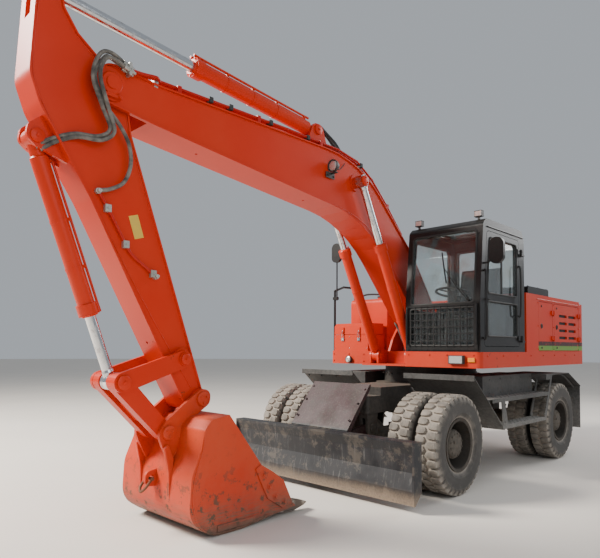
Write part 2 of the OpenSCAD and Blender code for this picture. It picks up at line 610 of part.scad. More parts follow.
// Plan of the counterweight; columns: x, y, corner radius
tail_side = 2330;
weight_rows = [[-weight_x - run, -deck_hw, 0], [-weight_x - run, deck_hw, 0],
    [-tail_side, deck_hw, 200], [-tail_r + 90, 620, 500], [-tail_r, 250, 600],
    [-tail_r, -250, 600], [-tail_r + 90, -620, 500], [-tail_side, -deck_hw, 200]];
module counterweight() color(orange) placed() difference() {
    union() {
        translate([0, 0, deck_z0]) linear_extrude(house_z - 30 - deck_z0) polygon(rounded(weight_rows));
        translate([0, 0, house_z - 31]) linear_extrude(31)
            polygon(rounded(inset(weight_rows, 40)));
    }
    // Fork pocket and lifting eyes' recesses
    block([-tail_r - 1, -260, deck_z0 + 90], [-tail_r + 70, 260, deck_z0 + 210]);
    for (y = [-800, 800]) translate([-weight_x - 210, y, house_z - 90]) cylinder(r = 70, h = 100);
}
engine_x0 = -2060;
module engine() color(black) placed() {
    block([engine_x0, -420, deck_z1 + 4], [engine_x0 + 620, 560, deck_z1 + 640]);
    block([engine_x0 + 60, 560, deck_z1 + 4], [engine_x0 + 420, 700, deck_z1 + 500]);
}
// Engine house: fixed walls of the compartments behind the cab and beside the engine
house_front = -590;
wall_x = -cab_rear - 45;
filter_x = [-560, -1050];
cooler_x = [-1110, -weight_x + 30];
door_z = [deck_z1 + 12, house_z - 80];
module house_shell() {
    // Left compartment
    difference() {
        block([-weight_x + run, 250, deck_z1 + run], [wall_x, deck_hw, house_z]);
        block([-weight_x + 30, 249, deck_z1 + 4],
            [house_front - panel_t, deck_hw - panel_t, house_z - panel_t]);
        block([house_front - panel_t - 1, 280, deck_z1 + 4],
            [wall_x - panel_t, deck_hw - panel_t, house_z - panel_t]);
        block([cooler_x[1], deck_hw - panel_t - 1, door_z[0]], [cooler_x[0], deck_hw + 1, door_z[1]]);
        block([filter_x[1], deck_hw - panel_t - 1, door_z[0]], [filter_x[0], deck_hw + 1, door_z[1]]);
    }
    // Right compartment
    difference() {
        block([-weight_x + run, -deck_hw, deck_z1 + run], [-1180, -450, house_z]);
        block([-weight_x + 30, -deck_hw + panel_t, deck_z1 + 4],
            [-1180 - panel_t, -450 + 1, house_z - panel_t]);
    }
    // Wall between the boom's channel and the engine
    block([house_front - panel_t, -480, deck_z1 + run], [house_front, 251, house_z - 60]);
    block([-1180 - panel_t, -480, deck_z1 + run], [house_front, -450, house_z - 60]);
}
// Doors hang on pins just outside the wall, at their rear edges
hinge_out = 17;
hinge_z = [1620, 1960];
module side_hinges(x) for (z = hinge_z) {
    translate([x, deck_hw + hinge_out, z]) cylinder(r = 6, h = 60);
    block([x - 26, deck_hw - 1, z - 14], [x - 2, deck_hw + hinge_out + 8, z]);
    block([x - 10, deck_hw + 6, z - 14], [x + 8, deck_hw + hinge_out + 8, z]);
}
hood_y = [-560, 790];
hood_pin = [-weight_x + 34, house_z + 24];
hood_eyes = [-535, 620];
module engine_house() color(orange) placed() {
    difference() {
        house_shell();
        // Opening under the hood
        block([-weight_x + 40, hood_y[0] - 10, house_z - panel_t - 1], [-700, hood_y[1] + 10, house_z + 1]);
    }
    side_hinges(cooler_x[1]);
    side_hinges(filter_x[1]);
    for (y = hood_eyes) {
        bar_y(hood_pin.x, hood_pin.y, 7, y - 20, y + 40);
        block([hood_pin.x - 12, y - 30, house_z - 1], [hood_pin.x + 4, y - 15, hood_pin.y + 10]);
    }
}
module side_door(x1, x0, louvres) {
    difference() {
        block([x0 + door_gap, deck_hw - panel_t + 2, door_z[0] + door_gap],
            [x1 - door_gap, deck_hw - 1, door_z[1] - door_gap]);
        if (louvres) for (z = [1640:100:1940], x = [x0 + 130, x0 + 500])
            block([x, deck_hw - panel_t, z], [x + 300, deck_hw + 1, z + 38]);
    }
    for (z = hinge_z) difference() {
        union() {
            translate([x0, deck_hw + hinge_out, z + run]) cylinder(r = 12, h = 55);
            block([x0, deck_hw + hinge_out - 10, z + run], [x0 + 60, deck_hw + hinge_out, z + 55 + run]);
            block([x0 + 25, deck_hw - 2, z + run], [x0 + 60, deck_hw + hinge_out - 9, z + 55 + run]);
        }
        translate([x0, deck_hw + hinge_out, z - 1]) cylinder(r = 6 + run, h = 70);
    }
}
module cooler_door() color(orange) placed() side_door(cooler_x[0], cooler_x[1], true);
module filter_door() color(orange) placed() side_door(filter_x[0], filter_x[1], false);
hood_x0 = -weight_x + 46;
hood_x1 = -706;
hood_z = house_z + 15;
module hood() color(orange) placed() {
    difference() {
        plate(rounded([[hood_x0, house_z - 20, 0], [hood_x1, house_z - 20, 0],
            [hood_x1, hood_z, 14], [hood_x0, hood_z, 14]]), hood_y[0], hood_y[1]);
        block([hood_x0 + 25, hood_y[0] + 25, house_z - 21], [hood_x1 - 25, hood_y[1] - 25, hood_z - 20]);
        for (x = [hood_x0 + 200:110:hood_x1 - 250])
            block([x, -300, hood_z - 21], [x + 50, 300, hood_z + 1]);
    }
    for (y = hood_eyes) difference() {
        union() {
            bar_y(hood_pin.x, hood_pin.y, 13, y - 15 + run, y + 40);
            block([hood_pin.x, y - 15 + run, hood_z - 2], [hood_x0 + 50, y + 40, hood_pin.y]);
        }
        bar_y(hood_pin.x, hood_pin.y, 7 + run, y - 30, y + 50);
    }
}
module air_box() color(black) placed() {
    plate(rounded([[-1060, house_z + run, 0], [-360, house_z + run, 0], [-360, house_z + 105, 30],
        [-1060, house_z + 105, 30]]), 850, 1190);
}
tank_x = [-1150, -480, -450, 190];
module tanks() color(orange) placed() {
    for (i = [0, 2]) plate(rounded([[tank_x[i], deck_z1 + run, 0], [tank_x[i + 1], deck_z1 + run, 0],
        [tank_x[i + 1], house_z + 20, 60], [tank_x[i], house_z + 20, 60]]), -deck_hw + 30, -570);
    for (x = [-800, -150]) translate([x, -900, house_z + 19]) cylinder(r = 60, h = 45);
}

// Cab
cab_z0 = deck_z1 + run;
// Side outline of the cab; columns: x, z, corner radius
cab_rows = [[-cab_rear, cab_z0, 0], [cab_front, cab_z0, 0], [cab_front, 2030, 300],
    [cab_front - 90, cab_z1 - 60, 60], [cab_front - 160, cab_z1, 60],
    [-cab_rear + 60, cab_z1, 70], [-cab_rear, cab_z1 - 110, 60]];
// Window openings seen from the side; columns: x, z, corner radius
door_hole = [[40, cab_z0 + 60, 40], [cab_front - 95, cab_z0 + 60, 40], [cab_front - 95, 2050, 200],
    [cab_front - 175, cab_z1 - 130, 50], [40, cab_z1 - 130, 50]];
right_window = [[60, 1950, 60], [cab_front - 110, 1950, 60], [cab_front - 130, 2200, 100],
    [cab_front - 200, cab_z1 - 160, 60], [60, cab_z1 - 160, 60]];
front_hi = [2010, cab_z1 - 130];
front_lo = [cab_z0 + 70, 1960];
front_y = [cab_y0 + 70, cab_y1 - 70];
guard_bar = 12;
door_pin = [10, cab_y1 + 20];
door_hinge_z = [1600, 2650];
module cab() color(black) placed() {
    difference() {
        plate(rounded(cab_rows), cab_y0, cab_y1);
        plate(rounded(inset(cab_rows, cab_t)), cab_y0 + cab_t, cab_y1 - cab_t);
        plate(rounded(door_hole), cab_y1 - cab_t - 1, cab_y1 + 1);
        plate(rounded(right_window), cab_y0 - 1, cab_y0 + cab_t + 1);
        block([cab_front - 250, front_y[0], front_hi[0]], [cab_front + 1, front_y[1], front_hi[1]]);
        block([cab_front - 60, front_y[0], front_lo[0]], [cab_front + 1, front_y[1], front_lo[1]]);
        block([-cab_rear - 1, front_y[0], 2150], [-cab_rear + cab_t + 20, front_y[1], cab_z1 - 170]);
        block([200, front_y[0] + 60, cab_z1 - cab_t - 1], [700, front_y[1] - 60, cab_z1 + 1]);
    }
    // Hinge pins of the door
    for (z = door_hinge_z) {
        translate([door_pin.x, door_pin.y, z]) cylinder(r = 8, h = 60);
        block([-60, cab_y1 - 1, z - 20], [0, door_pin.y + 12, z]);
        block([-10, cab_y1 + 6, z - 20], [door_pin.x + 10, door_pin.y + 12, z]);
    }
}
module front_guard() color(black) placed() difference() {
    block([cab_front + run, cab_y0 + 25, cab_z0 + 20], [cab_front + 14, cab_y1 - 25, 2000]);
    for (i = [0:9], j = [0:5]) block(
        [cab_front, cab_y0 + 60 + i * 82, cab_z0 + 50 + j * 80],
        [cab_front + 15, cab_y0 + 60 + i * 82 + 82 - guard_bar, cab_z0 + 50 + j * 80 + 80 - guard_bar]);
}
module pane_side(table, y) plate(rounded(inset(table, run)), y, y + glass_t);
module cab_glass() color(glass) placed() {
    pane_side(right_window, cab_y0 + cab_t / 2);
    block([cab_front - 30, front_y[0] + run, front_lo[0] + run],
        [cab_front - 30 + glass_t, front_y[1] - run, front_lo[1] - run]);
    // The windscreen leans with the cab's front
    plate([[cab_front - 20, front_hi[0] + run], [cab_front - 20 + glass_t, front_hi[0] + run],
        [cab_front - 105 + glass_t, front_hi[1] - run], [cab_front - 105, front_hi[1] - run]],
        front_y[0] + run, front_y[1] - run);
    block([-cab_rear + 18, front_y[0] + run, 2150 + run],
        [-cab_rear + 18 + glass_t, front_y[1] - run, cab_z1 - 170 - run]);
    block([200 + run, front_y[0] + 60 + run, cab_z1 - 30],
        [700 - run, front_y[1] - 60 - run, cab_z1 - 30 + glass_t]);
}
seat_x = 330;
seat_y = (cab_y0 + cab_y1) / 2;
floor_z = cab_z0 + cab_t + run;
module cab_interior() color(black) placed() {
    block([seat_x - 220, seat_y - 200, floor_z], [seat_x + 220, seat_y + 200, floor_z + 250]);
    plate(rounded([[seat_x - 260, floor_z + 249, 0], [seat_x + 250, floor_z + 249, 0],
        [seat_x + 260, floor_z + 380, 50], [seat_x - 130, floor_z + 370, 60],
        [seat_x - 230, floor_z + 1000, 50], [seat_x - 330, floor_z + 990, 50]]),
        seat_y - 240, seat_y + 240);
    for (y = [seat_y - 340, seat_y + 250]) block([seat_x - 200, y, floor_z],
        [seat_x + 240, y + 90, floor_z + 520]);
    // Steering column and wheel
    rod3([seat_x + 600, seat_y, floor_z - 1 + 30], [seat_x + 470, seat_y, floor_z + 640], 45);
    block([seat_x + 540, seat_y - 80, floor_z], [seat_x + 660, seat_y + 80, floor_z + 60]);
    translate([seat_x + 467, seat_y, floor_z + 650]) rotate([0, -12, 0]) {
        rotate_extrude() translate([185, 0]) circle(r = 14, $fn = 16);
        for (a = [90, 210, 330]) rotate([0, 0, a]) translate([0, -10, -8]) cube([185, 20, 12]);
        cylinder(r = 45, h = 25, center = true);
    }
}
module cab_door() color(black) placed() {
    difference() {
        plate(rounded(inset(door_hole, door_gap)), cab_y1 - cab_t, cab_y1);
        plate(rounded(door_pane_hi), cab_y1 - cab_t - 1, cab_y1 + 1);
        plate(rounded(door_pane_lo), cab_y1 - cab_t - 1, cab_y1 + 1);
    }
    for (z = door_hinge_z) difference() {
        union() {
            translate([door_pin.x, door_pin.y, z + run]) cylinder(r = 15, h = 55);
            block([door_pin.x, cab_y1 + 7, z + run], [100, cab_y1 + 18, z + 55 + run]);
            block([60, cab_y1 - 1, z + run], [100, cab_y1 + 8, z + 55 + run]);
        }
        translate([door_pin.x, door_pin.y, z - 1]) cylinder(r = 8 + run, h = 70);
    }
    // Handle
    block([cab_front - 190, cab_y1 - 1, 2035], [cab_front - 130, cab_y1 + 8, 2060]);
}
door_pane_hi = [[110, 2120, 40], [cab_front - 170, 2120, 100], [cab_front - 235, cab_z1 - 200, 40],
    [110, cab_z1 - 200, 40]];
door_pane_lo = [[110, 1640, 40], [cab_front - 170, 1640, 40], [cab_front - 170, 2030, 100],
    [110, 2030, 40]];
module door_glass() color(glass) placed() {
    pane_side(door_pane_hi, cab_y1 - cab_t / 2);
    pane_side(door_pane_lo, cab_y1 - cab_t / 2);
}
rail_r = 16;
module rails_and_mirrors() color(black) placed() {
    // Rail up the right front corner, with the right mirror on its rod
    rail([[rail_x, rail_y, deck_z1 + run], [rail_x, rail_y, 2330], [rail_x - 200, rail_y, 2400],
        [150, rail_y + 40, 2400], [150, rail_y + 40, house_z + 20 + run]], rail_r);
    block([rail_x - 22, rail_y - 22, 2200], [rail_x + 22, rail_y + 55, 2240]);
    translate([rail_x, rail_y + 38, 2190]) cylinder(r = 10, h = 600);
    translate([rail_x - 20, rail_y + 38, 2880]) mirror_body();
    // Left mirror on its arm from the cab's front post
    rail([[985, cab_y1 + run, 2440], [985, cab_y1 + 60, 2440], [1100, cab_y1 + 170, 2480]], 10);
    translate([1085, cab_y1 + 210, 2540]) mirror_body();
}
rail_x = deck_front_r - 48;
rail_y = -deck_hw + 30;
module mirror_body() rotate([90, 0, 90]) linear_extrude(45)
    polygon(rounded([[-80, -140, 76], [80, -140, 76], [80, 140, 76], [-80, 140, 76]]));
module lamp_box(at, w, h) {
    translate(at) block([0, -w / 2, 0], [50, w / 2, h]);
    translate(at) block([15, -12, -30], [35, 12, 1]);
}
module lamps() color(steel) placed() {
    lamp_box([cab_front - 200, cab_y0 + 90, cab_z1 + 30 + run], 90, 70);
    lamp_box([cab_front - 200, cab_y1 - 90, cab_z1 + 30 + run], 90, 70);
    block([deck_front + run, 880, deck_z0 + 45], [deck_front + 40, 1060, deck_z0 + 140]);
    translate([deck_front_r + run, -900, deck_z0 + 60]) rotate([0, 90, 0]) cylinder(r = 45, h = 40);
}

// Boom
boom_mid = [1620, 2984];
// Side outline of the boom; columns: x, z, corner radius
boom_rows = [[foot_x - 20, foot_z - 215, 200], [foot_x + 170, foot_z - 190, 60],
    [1624, 2984, 1600], [4420, 3280, 120], [nose_x + 60, nose_z - 145, 140],
    [nose_x + 175, nose_z + 20, 140], [nose_x + 20, nose_z + 165, 140], [4380, 3625, 400],
    [1720, 3662, 1500], [620, 2690, 200], [foot_x - 215, foot_z + 10, 200]];
boom_web_rows = inset(boom_rows, boom_t);
// Hollow inside the boom's box; columns: x, z, corner radius
boom_void_rows = [[560, 2070, 80], [1650, 3020, 1500], [4180, 3300, 60], [4180, 3590, 60],
    [1740, 3610, 1400], [700, 2640, 100]];
nose_ear = 45;
module boom() color(orange) placed() translate([0, boom_y, 0]) difference() {
    union() {
        difference() {
            plate(rounded(boom_rows), -boom_hw, boom_hw);
            for (y = [-boom_hw - 1, boom_hw - boom_t]) plate(rounded(boom_web_rows), y, y + boom_t + 1);
            plate(rounded(boom_void_rows), -boom_hw + 26, boom_hw - 26);
        }
        // Fork plates of the nose and of the foot, proud of the webs
        for (y = [-boom_hw, boom_hw - boom_t - 1]) {
            bar_y(nose_x, nose_z, 128, y, y + boom_t + 1);
            bar_y(foot_x, foot_z, 150, y, y + boom_t + 1);
            bar_y(boom_eye.x, boom_eye.y, 95, y - 2, y + boom_t + 3);
        }
        // Bosses that carry the boom cylinders' eyes
        bar_y(boom_eye.x, boom_eye.y, 62, -cyl_spread + cyl_ear_y, cyl_spread - cyl_ear_y);
        // Ears of the arm cylinder's foot
        for (y = [-82, 50.3]) plate(rounded([[2160, 3600, 0], [2560, 3600, 0], [2420, 3930, 70],
            [2280, 3930, 70]]), y, y + 30);
        bar_y(arm_cyl_foot.x, arm_cyl_foot.y, 40, -82, 82);
    }
    // Drain holes of the hollow, and the foot pin's bore
    for (x = [2500, 3900]) translate([x, 0, 2900]) cylinder(r = 12, h = 500);
    bar_y(foot_x, foot_z, pin_r + run, -boom_hw - 10, boom_hw + 10);
    // Fork for the arm between the nose plates
    plate([[nose_x - 330, nose_z - 300], [nose_x + 300, nose_z - 300], [nose_x + 300, nose_z + 300],
        [nose_x - 330, nose_z + 300]], -arm_hw - 5, arm_hw + 5);
    plate([[nose_x - 500, nose_z + 100], [nose_x - 320, nose_z - 20], [nose_x - 320, nose_z + 290],
        [nose_x - 500, nose_z + 290]], -arm_hw - 5, arm_hw + 5);
}
arm_cyl_foot = [2350, 3868];
pipe_way = [[860, 2930], [1180, 3235], [1480, 3490], [1760, 3640], [2100, 3690], [2900, 3695],
    [4380, 3665]];
module boom_pipes() color(black) placed() translate([0, boom_y, 0]) {
    for (y = [118, 156]) rail([for (q = pipe_way) [q[0], y, q[1]]], 13);
    // Clamps on the boom's top plate; columns: x, underside, top
    for (q = [[1180, 3204, 3251], [2400, 3653.1, 3708], [3300, 3640.7, 3706], [4200, 3628.2, 3686]])
        block([q[0] - 20, 95, q[1]], [q[0] + 20, 178, q[2]]);
}
boom_tube_len = 1480;
module boom_cylinders() color(orange) placed() both_sides()
    cyl_tube(boom_cyl_foot, boom_eye, cyl_spread, boom_cyl_r, boom_rod_r, boom_tube_len,
        2 * cyl_ear_y - 2 * run, 38, 92);
module boom_rods() color(steel) placed() both_sides()
    cyl_rod(boom_cyl_foot, boom_eye, cyl_spread, boom_rod_r, 760, 2 * cyl_ear_y, 72);

// Arm
arm_dir = unit([wrist_x - nose_x, wrist_z - nose_z]);
bucket_cyl_foot = [5320, 2980];
arm_eye = [5270, 4110];
idler_pin = [4130, 1400];
link_pin = [4680, 1225];
bucket_pin = [4280, 810];
// Side outline of the arm; columns: x, z, corner radius
arm_rows = [[wrist_x - 88, wrist_z - 88, 86], [wrist_x + 120, wrist_z - 88, 86],
    [4950, 2600, 600], [5330, 3190, 300], [5405, 3400, 200], [5365, 4060, 100],
    [5345, 4185, 80], [5200, 4185, 80], [5165, 3950, 60], [5060, 3800, 60],
    [4860, 3650, 80], [4675, 3540, 130], [4620, 3165, 200], [3905, 1130, 40],
    [wrist_x - 88, wrist_z + 30, 20]];
// Hollow inside the arm's box; columns: x, z, corner radius
arm_void_rows = [[4080, 1560, 60], [4330, 1560, 60], [4920, 2640, 500], [5150, 3000, 100],
    [5010, 3250, 100], [4700, 3200, 200], [4600, 3000, 100]];
module arm() color(orange) placed() translate([0, boom_y, 0]) difference() {
    union() {
        difference() {
            plate(rounded(arm_rows), -arm_hw, arm_hw);
            for (y = [-arm_hw - 1, arm_hw - boom_t])
                plate(rounded(inset(arm_rows, boom_t)), y, y + boom_t + 1);
            plate(rounded(arm_void_rows), -arm_hw + 26, arm_hw - 26);
        }
        for (y = [-arm_hw, arm_hw - boom_t - 1]) {
            bar_y(nose_x, nose_z, 120, y, y + boom_t + 1);
            bar_y(arm_eye.x, arm_eye.y, 62, y, y + boom_t + 1);
        }
        bar_y(idler_pin.x, idler_pin.y, 90, -idler_y0 + run, idler_y0 - run);
        bar_y(wrist_x, wrist_z, 86, -bucket_ear_y + run, bucket_ear_y - run);
        // Ears of the bucket cylinder's foot
        for (y = [-88, 56.3]) plate(rounded([[5060, 2820, 0], [5330, 2905, 60], [5398, 2960, 60],
            [5385, 3050, 60], [5270, 3150, 0], [5150, 3050, 0]]), y, y + 31.7);
        bar_y(bucket_cyl_foot.x, bucket_cyl_foot.y, 38, -88, 88);
        // Pins of the idlers, with their caps
        bar_y(idler_pin.x, idler_pin.y, 36, -idler_y1 - 2, idler_y1 + 2);
        for (s = [-1, 1]) bar_y(idler_pin.x, idler_pin.y, 55, s > 0 ? idler_y1 + run : -idler_y1 - run - 16,
            s > 0 ? idler_y1 + run + 16 : -idler_y1 - run);
    }
    bar_y(nose_x, nose_z, pin_r + run, -arm_hw - 30, arm_hw + 30);
    bar_y(wrist_x, wrist_z, pin_r - 5 + run, -arm_hw - 30, arm_hw + 30);
    // Drain hole of the hollow, and the gap between the ears for the arm cylinder's eye
    translate([4250, 0, 1600]) rotate([0, 120, 0]) cylinder(r = 12, h = 300);
    plate([[4900, 3850], [5600, 3850], [5600, 4400], [4900, 4400]], -50.3, 50.3);
}
idler_y0 = arm_hw + 22;
idler_y1 = idler_y0 + 34;
link_w = arm_hw - 20;
arm_tube_len = 1620;
module arm_cylinder() color(orange) placed()
    cyl_tube(arm_cyl_foot, arm_eye, boom_y, arm_cyl_r, arm_rod_r, arm_tube_len, 100, 40, 100);
module arm_rod() color(steel) placed()
    cyl_rod(arm_cyl_foot, arm_eye, boom_y, arm_rod_r, 1270, 100, 72);
bucket_tube_len = 1330;
module bucket_cylinder() color(orange) placed()
    cyl_tube(bucket_cyl_foot, link_pin, boom_y, bucket_cyl_r, bucket_rod_r, bucket_tube_len, 112, 38, 125);
module bucket_rod() color(steel) placed()
    cyl_rod(bucket_cyl_foot, link_pin, boom_y, bucket_rod_r, 490, 96, 70);
module idlers() color(orange) placed() both_sides() difference() {
    union() {
        strap(idler_pin, link_pin, 72, 78, idler_y0, idler_y1);
        // Half of the pin that joins idler and link
        bar_y(link_pin.x, link_pin.y, 34, 52, idler_y1 + 14);
    }
    bar_y(idler_pin.x, idler_pin.y, 36 + run, idler_y0 - 1, idler_y1 + 1);
}
module bucket_link() color(orange) placed() translate([0, boom_y, 0]) difference() {
    union() {
        for (y = [-idler_y0 + 3, 60]) strap(link_pin, bucket_pin, 76, 68, y, y + idler_y0 - 63);
        plate([mix(link_pin, bucket_pin, 0.35) + [35, -35], mix(link_pin, bucket_pin, 0.35) + [-35, 35],
            mix(link_pin, bucket_pin, 0.7) + [-35, 35], mix(link_pin, bucket_pin, 0.7) + [35, -35]],
            -70, 70);
        for (y = [-bucket_ear_y + run, 100]) bar_y(bucket_pin.x, bucket_pin.y, 60, y,
            y + bucket_ear_y - run - 100);
        for (y = [-idler_y0 + run, 100]) bar_y(link_pin.x, link_pin.y, 70, y, y + idler_y0 - run - 100);
    }
    bar_y(link_pin.x, link_pin.y, 34 + run, -300, 300);
}

// Bucket
// Side outline of the bucket's shell; columns: x, z, corner radius
bucket_rows = [[3900, 950, 0], [3440, 360, 0], [3120, 70, 0], [3400, 45, 0], [3760, 4, 300],
    [4060, 4, 260], [4290, 160, 200], [4270, 500, 300], [4180, 700, 100], [4150, 850, 60],
    [4075, 925, 60]];
bucket_ear_y = arm_hw + 22;
module bucket() color(orange) placed() translate([0, boom_y, 0]) {
    difference() {
        plate(rounded(bucket_rows), -bucket_hw, bucket_hw);
        plate(concat([[3700, 1100], [3000, 400], [3000, 130]],
            [for (p = bucket_hollow) p]), -bucket_hw + bucket_t, bucket_hw - bucket_t);
    }
    // Ears with their pins
    for (y = [-bucket_ear_y - 32, bucket_ear_y]) plate(rounded(bucket_ear_rows), y, y + 32);
    bar_y(wrist_x, wrist_z, pin_r - 5, -bucket_ear_y - 40, bucket_ear_y + 40);
    for (y = [-bucket_ear_y - 40, bucket_ear_y + 32]) bar_y(wrist_x, wrist_z, 62, y, y + 8);
    for (s = [-1, 1]) bar_y(bucket_pin.x, bucket_pin.y, 58, s > 0 ? bucket_ear_y + 30 : -bucket_ear_y - 48,
        s > 0 ? bucket_ear_y + 48 : -bucket_ear_y - 30);
    // Lifting eye on the back
    difference() {
        plate(rounded([[4240, 350, 0], [4372, 365, 50], [4372, 475, 50], [4240, 500, 0]]), -15, 15);
        bar_y(4320, 420, 25, -16, 16);
    }
    // Teeth
    pitch = (2 * bucket_hw - 120) / (teeth - 1);
    for (i = [0:teeth - 1]) plate([[3260, 40], [3080, 30], [2960, 62], [2965, 74], [3110, 122],
        [3280, 130]], -bucket_hw + 60 + i * pitch - 32, -bucket_hw + 60 + i * pitch + 32);
    // Side cutters
    for (y = [-bucket_hw - 14, bucket_hw - 1]) plate([[3560, 500], [3620, 470], [3480, 200],
        [3300, 90], [3180, 120], [3290, 330], [3420, 420]], y, y + 15);
}
bucket_hollow = [[3400, 45 + wrapper_t + 20], [3760, 4 + wrapper_t], [3960, 4 + wrapper_t],
    [4120, 60 + wrapper_t], [4240, 190], [4262 - wrapper_t, 320], [4245 - wrapper_t, 520],
    [4160 - wrapper_t, 700], [4128 - wrapper_t, 820], [4066 - wrapper_t, 890], [3935, 910]];
bucket_ear_rows = [[wrist_x - 80, wrist_z - 40, 70], [wrist_x + 60, wrist_z - 130, 30], [4060, 900, 0],
    [4150, 700, 0], [4255, 560, 0], [4330, 700, 60], [4370, 800, 80], [4300, 900, 80],
    [4080, 1060, 100], [wrist_x, wrist_z + 90, 80], [wrist_x - 85, wrist_z + 60, 60]];
module arm_hoses() color(black) placed() translate([0, boom_y, 0]) {
    rail([[4700, 100, 3640], [4760, 130, 3760], [4870, 160, 3770], [4960, 160, 3600]], 14);
}
module foot_hoses() color(black) placed() translate([0, boom_y, 0]) {
    for (y = [-90, 90]) rail([[380, y, deck_z1 + run], [380, y, 1560], [470, y, 1700]], 20);
}

chassis_frame();
front_axle();
rear_axle();
deck_left();
deck_right();
knuckle(1);  // knuckle_left
knuckle(-1);  // knuckle_right
steering_rod();
color(worn) at_wheel(front_axle_x, 1) rim_pair();  // rims_front_left
color(worn) at_wheel(front_axle_x, -1) rim_pair();  // rims_front_right
color(worn) at_wheel(rear_axle_x, 1) rim_pair();  // rims_rear_left
color(worn) at_wheel(rear_axle_x, -1) rim_pair();  // rims_rear_right
color(rubber) at_wheel(front_axle_x, 1) tyre_pair();  // tyres_front_left
color(rubber) at_wheel(front_axle_x, -1) tyre_pair();  // tyres_front_right
color(rubber) at_wheel(rear_axle_x, 1) tyre_pair();  // tyres_rear_left
color(rubber) at_wheel(rear_axle_x, -1) tyre_pair();  // tyres_rear_right
blade();
blade_cylinders();
blade_rods();
platform();
counterweight();
engine();
engine_house();
tanks();
cab();
cab_glass();
cab_interior();
front_guard();
air_box();
rails_and_mirrors();
lamps();
cab_door();
door_glass();
hood();
cooler_door();
filter_door();
toolbox_lid();
boom();
boom_pipes();
boom_cylinders();
boom_rods();
arm();
arm_cylinder();
arm_rod();
bucket_cylinder();
bucket_rod();
idlers();
bucket_link();
bucket();
arm_hoses();
foot_hoses();
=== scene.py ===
import itertools
import math

import bmesh
import bpy
from mathutils import Matrix, Vector


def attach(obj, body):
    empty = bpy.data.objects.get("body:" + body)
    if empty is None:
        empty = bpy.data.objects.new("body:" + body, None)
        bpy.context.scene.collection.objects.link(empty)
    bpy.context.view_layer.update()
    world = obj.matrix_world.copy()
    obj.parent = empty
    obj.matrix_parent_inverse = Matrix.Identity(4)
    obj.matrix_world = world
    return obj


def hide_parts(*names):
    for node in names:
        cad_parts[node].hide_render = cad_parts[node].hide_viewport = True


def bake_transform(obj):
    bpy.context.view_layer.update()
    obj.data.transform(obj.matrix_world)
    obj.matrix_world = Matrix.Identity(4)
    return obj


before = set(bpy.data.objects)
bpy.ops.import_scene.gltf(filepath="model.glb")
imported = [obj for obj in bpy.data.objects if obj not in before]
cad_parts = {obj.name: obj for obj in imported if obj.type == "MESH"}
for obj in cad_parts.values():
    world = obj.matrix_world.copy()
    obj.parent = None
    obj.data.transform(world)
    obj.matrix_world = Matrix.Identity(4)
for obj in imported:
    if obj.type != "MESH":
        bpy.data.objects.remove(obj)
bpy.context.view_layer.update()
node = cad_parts

# Camera and studio
# The photograph was taken by hand from the left front corner, 1.5 m above the ground.
# A pale floor runs out to a pale sky. A broad soft lamp stands to the right front, weaker ones left and behind.
EYE = Vector((5.4782, 3.8891, 1.4947))
YAW, PITCH, ROLL = (math.radians(a) for a in (224.8646, 2.3174, 0.3284))
PHOTO_W, PHOTO_H, FOCAL_PX = 600.0, 558.0, 559.13
CENTRE_X, CENTRE_Y = 286.47, 325.53


def placed(name, data):
    """A new object in the scene."""
    thing = bpy.data.objects.new(name, data)
    bpy.context.scene.collection.objects.link(thing)
    return thing


ahead = Vector((math.cos(YAW) * math.cos(PITCH), math.sin(YAW) * math.cos(PITCH), math.sin(PITCH)))
level = Vector((math.sin(YAW), -math.cos(YAW), 0.0))
upright = level.cross(ahead)
across = math.cos(ROLL) * level + math.sin(ROLL) * upright
upward = math.cos(ROLL) * upright - math.sin(ROLL) * level
lens = bpy.data.cameras.new("camera")
camera = placed("camera", lens)
camera.matrix_world = Matrix.Translation(EYE) @ Matrix((across, upward, -ahead)).transposed().to_4x4()
lens.sensor_width = 36.0
lens.lens = FOCAL_PX * lens.sensor_width / PHOTO_W
lens.shift_x = (PHOTO_W / 2 - CENTRE_X) / PHOTO_W
lens.shift_y = (CENTRE_Y - PHOTO_H / 2) / PHOTO_W
lens.clip_end = 200.0
bpy.context.scene.camera = camera

for name, place, target, size, power, colour in (
        ("key_lamp", (9.0, -7.5, 9.5), (0.5, 0.0, 1.2), 4.0, 4200.0, (1.0, 0.95, 0.87)),
        ("fill_lamp", (4.0, 11.0, 6.0), (0.0, 0.0, 1.0), 8.0, 400.0, (0.92, 0.96, 1.0)),
        ("rear_lamp", (-10.0, 3.0, 7.0), (-1.0, 0.0, 1.2), 6.0, 550.0, (1.0, 1.0, 1.0))):
    light = bpy.data.lights.new(name, "AREA")
    light.size, light.energy, light.color = size, power, colour
    lamp = placed(name, light)
    lamp.location = place
    lamp.rotation_mode = "QUATERNION"
    lamp.rotation_quaternion = (Vector(target) - Vector(place)).to_track_quat("-Z", "Y")

sky = bpy.data.worlds.new("sky")
bpy.context.scene.world = sky
sky.use_nodes = True
background = sky.node_tree.nodes["Background"].inputs
background["Color"].default_value = (0.80, 0.86, 0.93, 1.0)
background["Strength"].default_value = 0.5


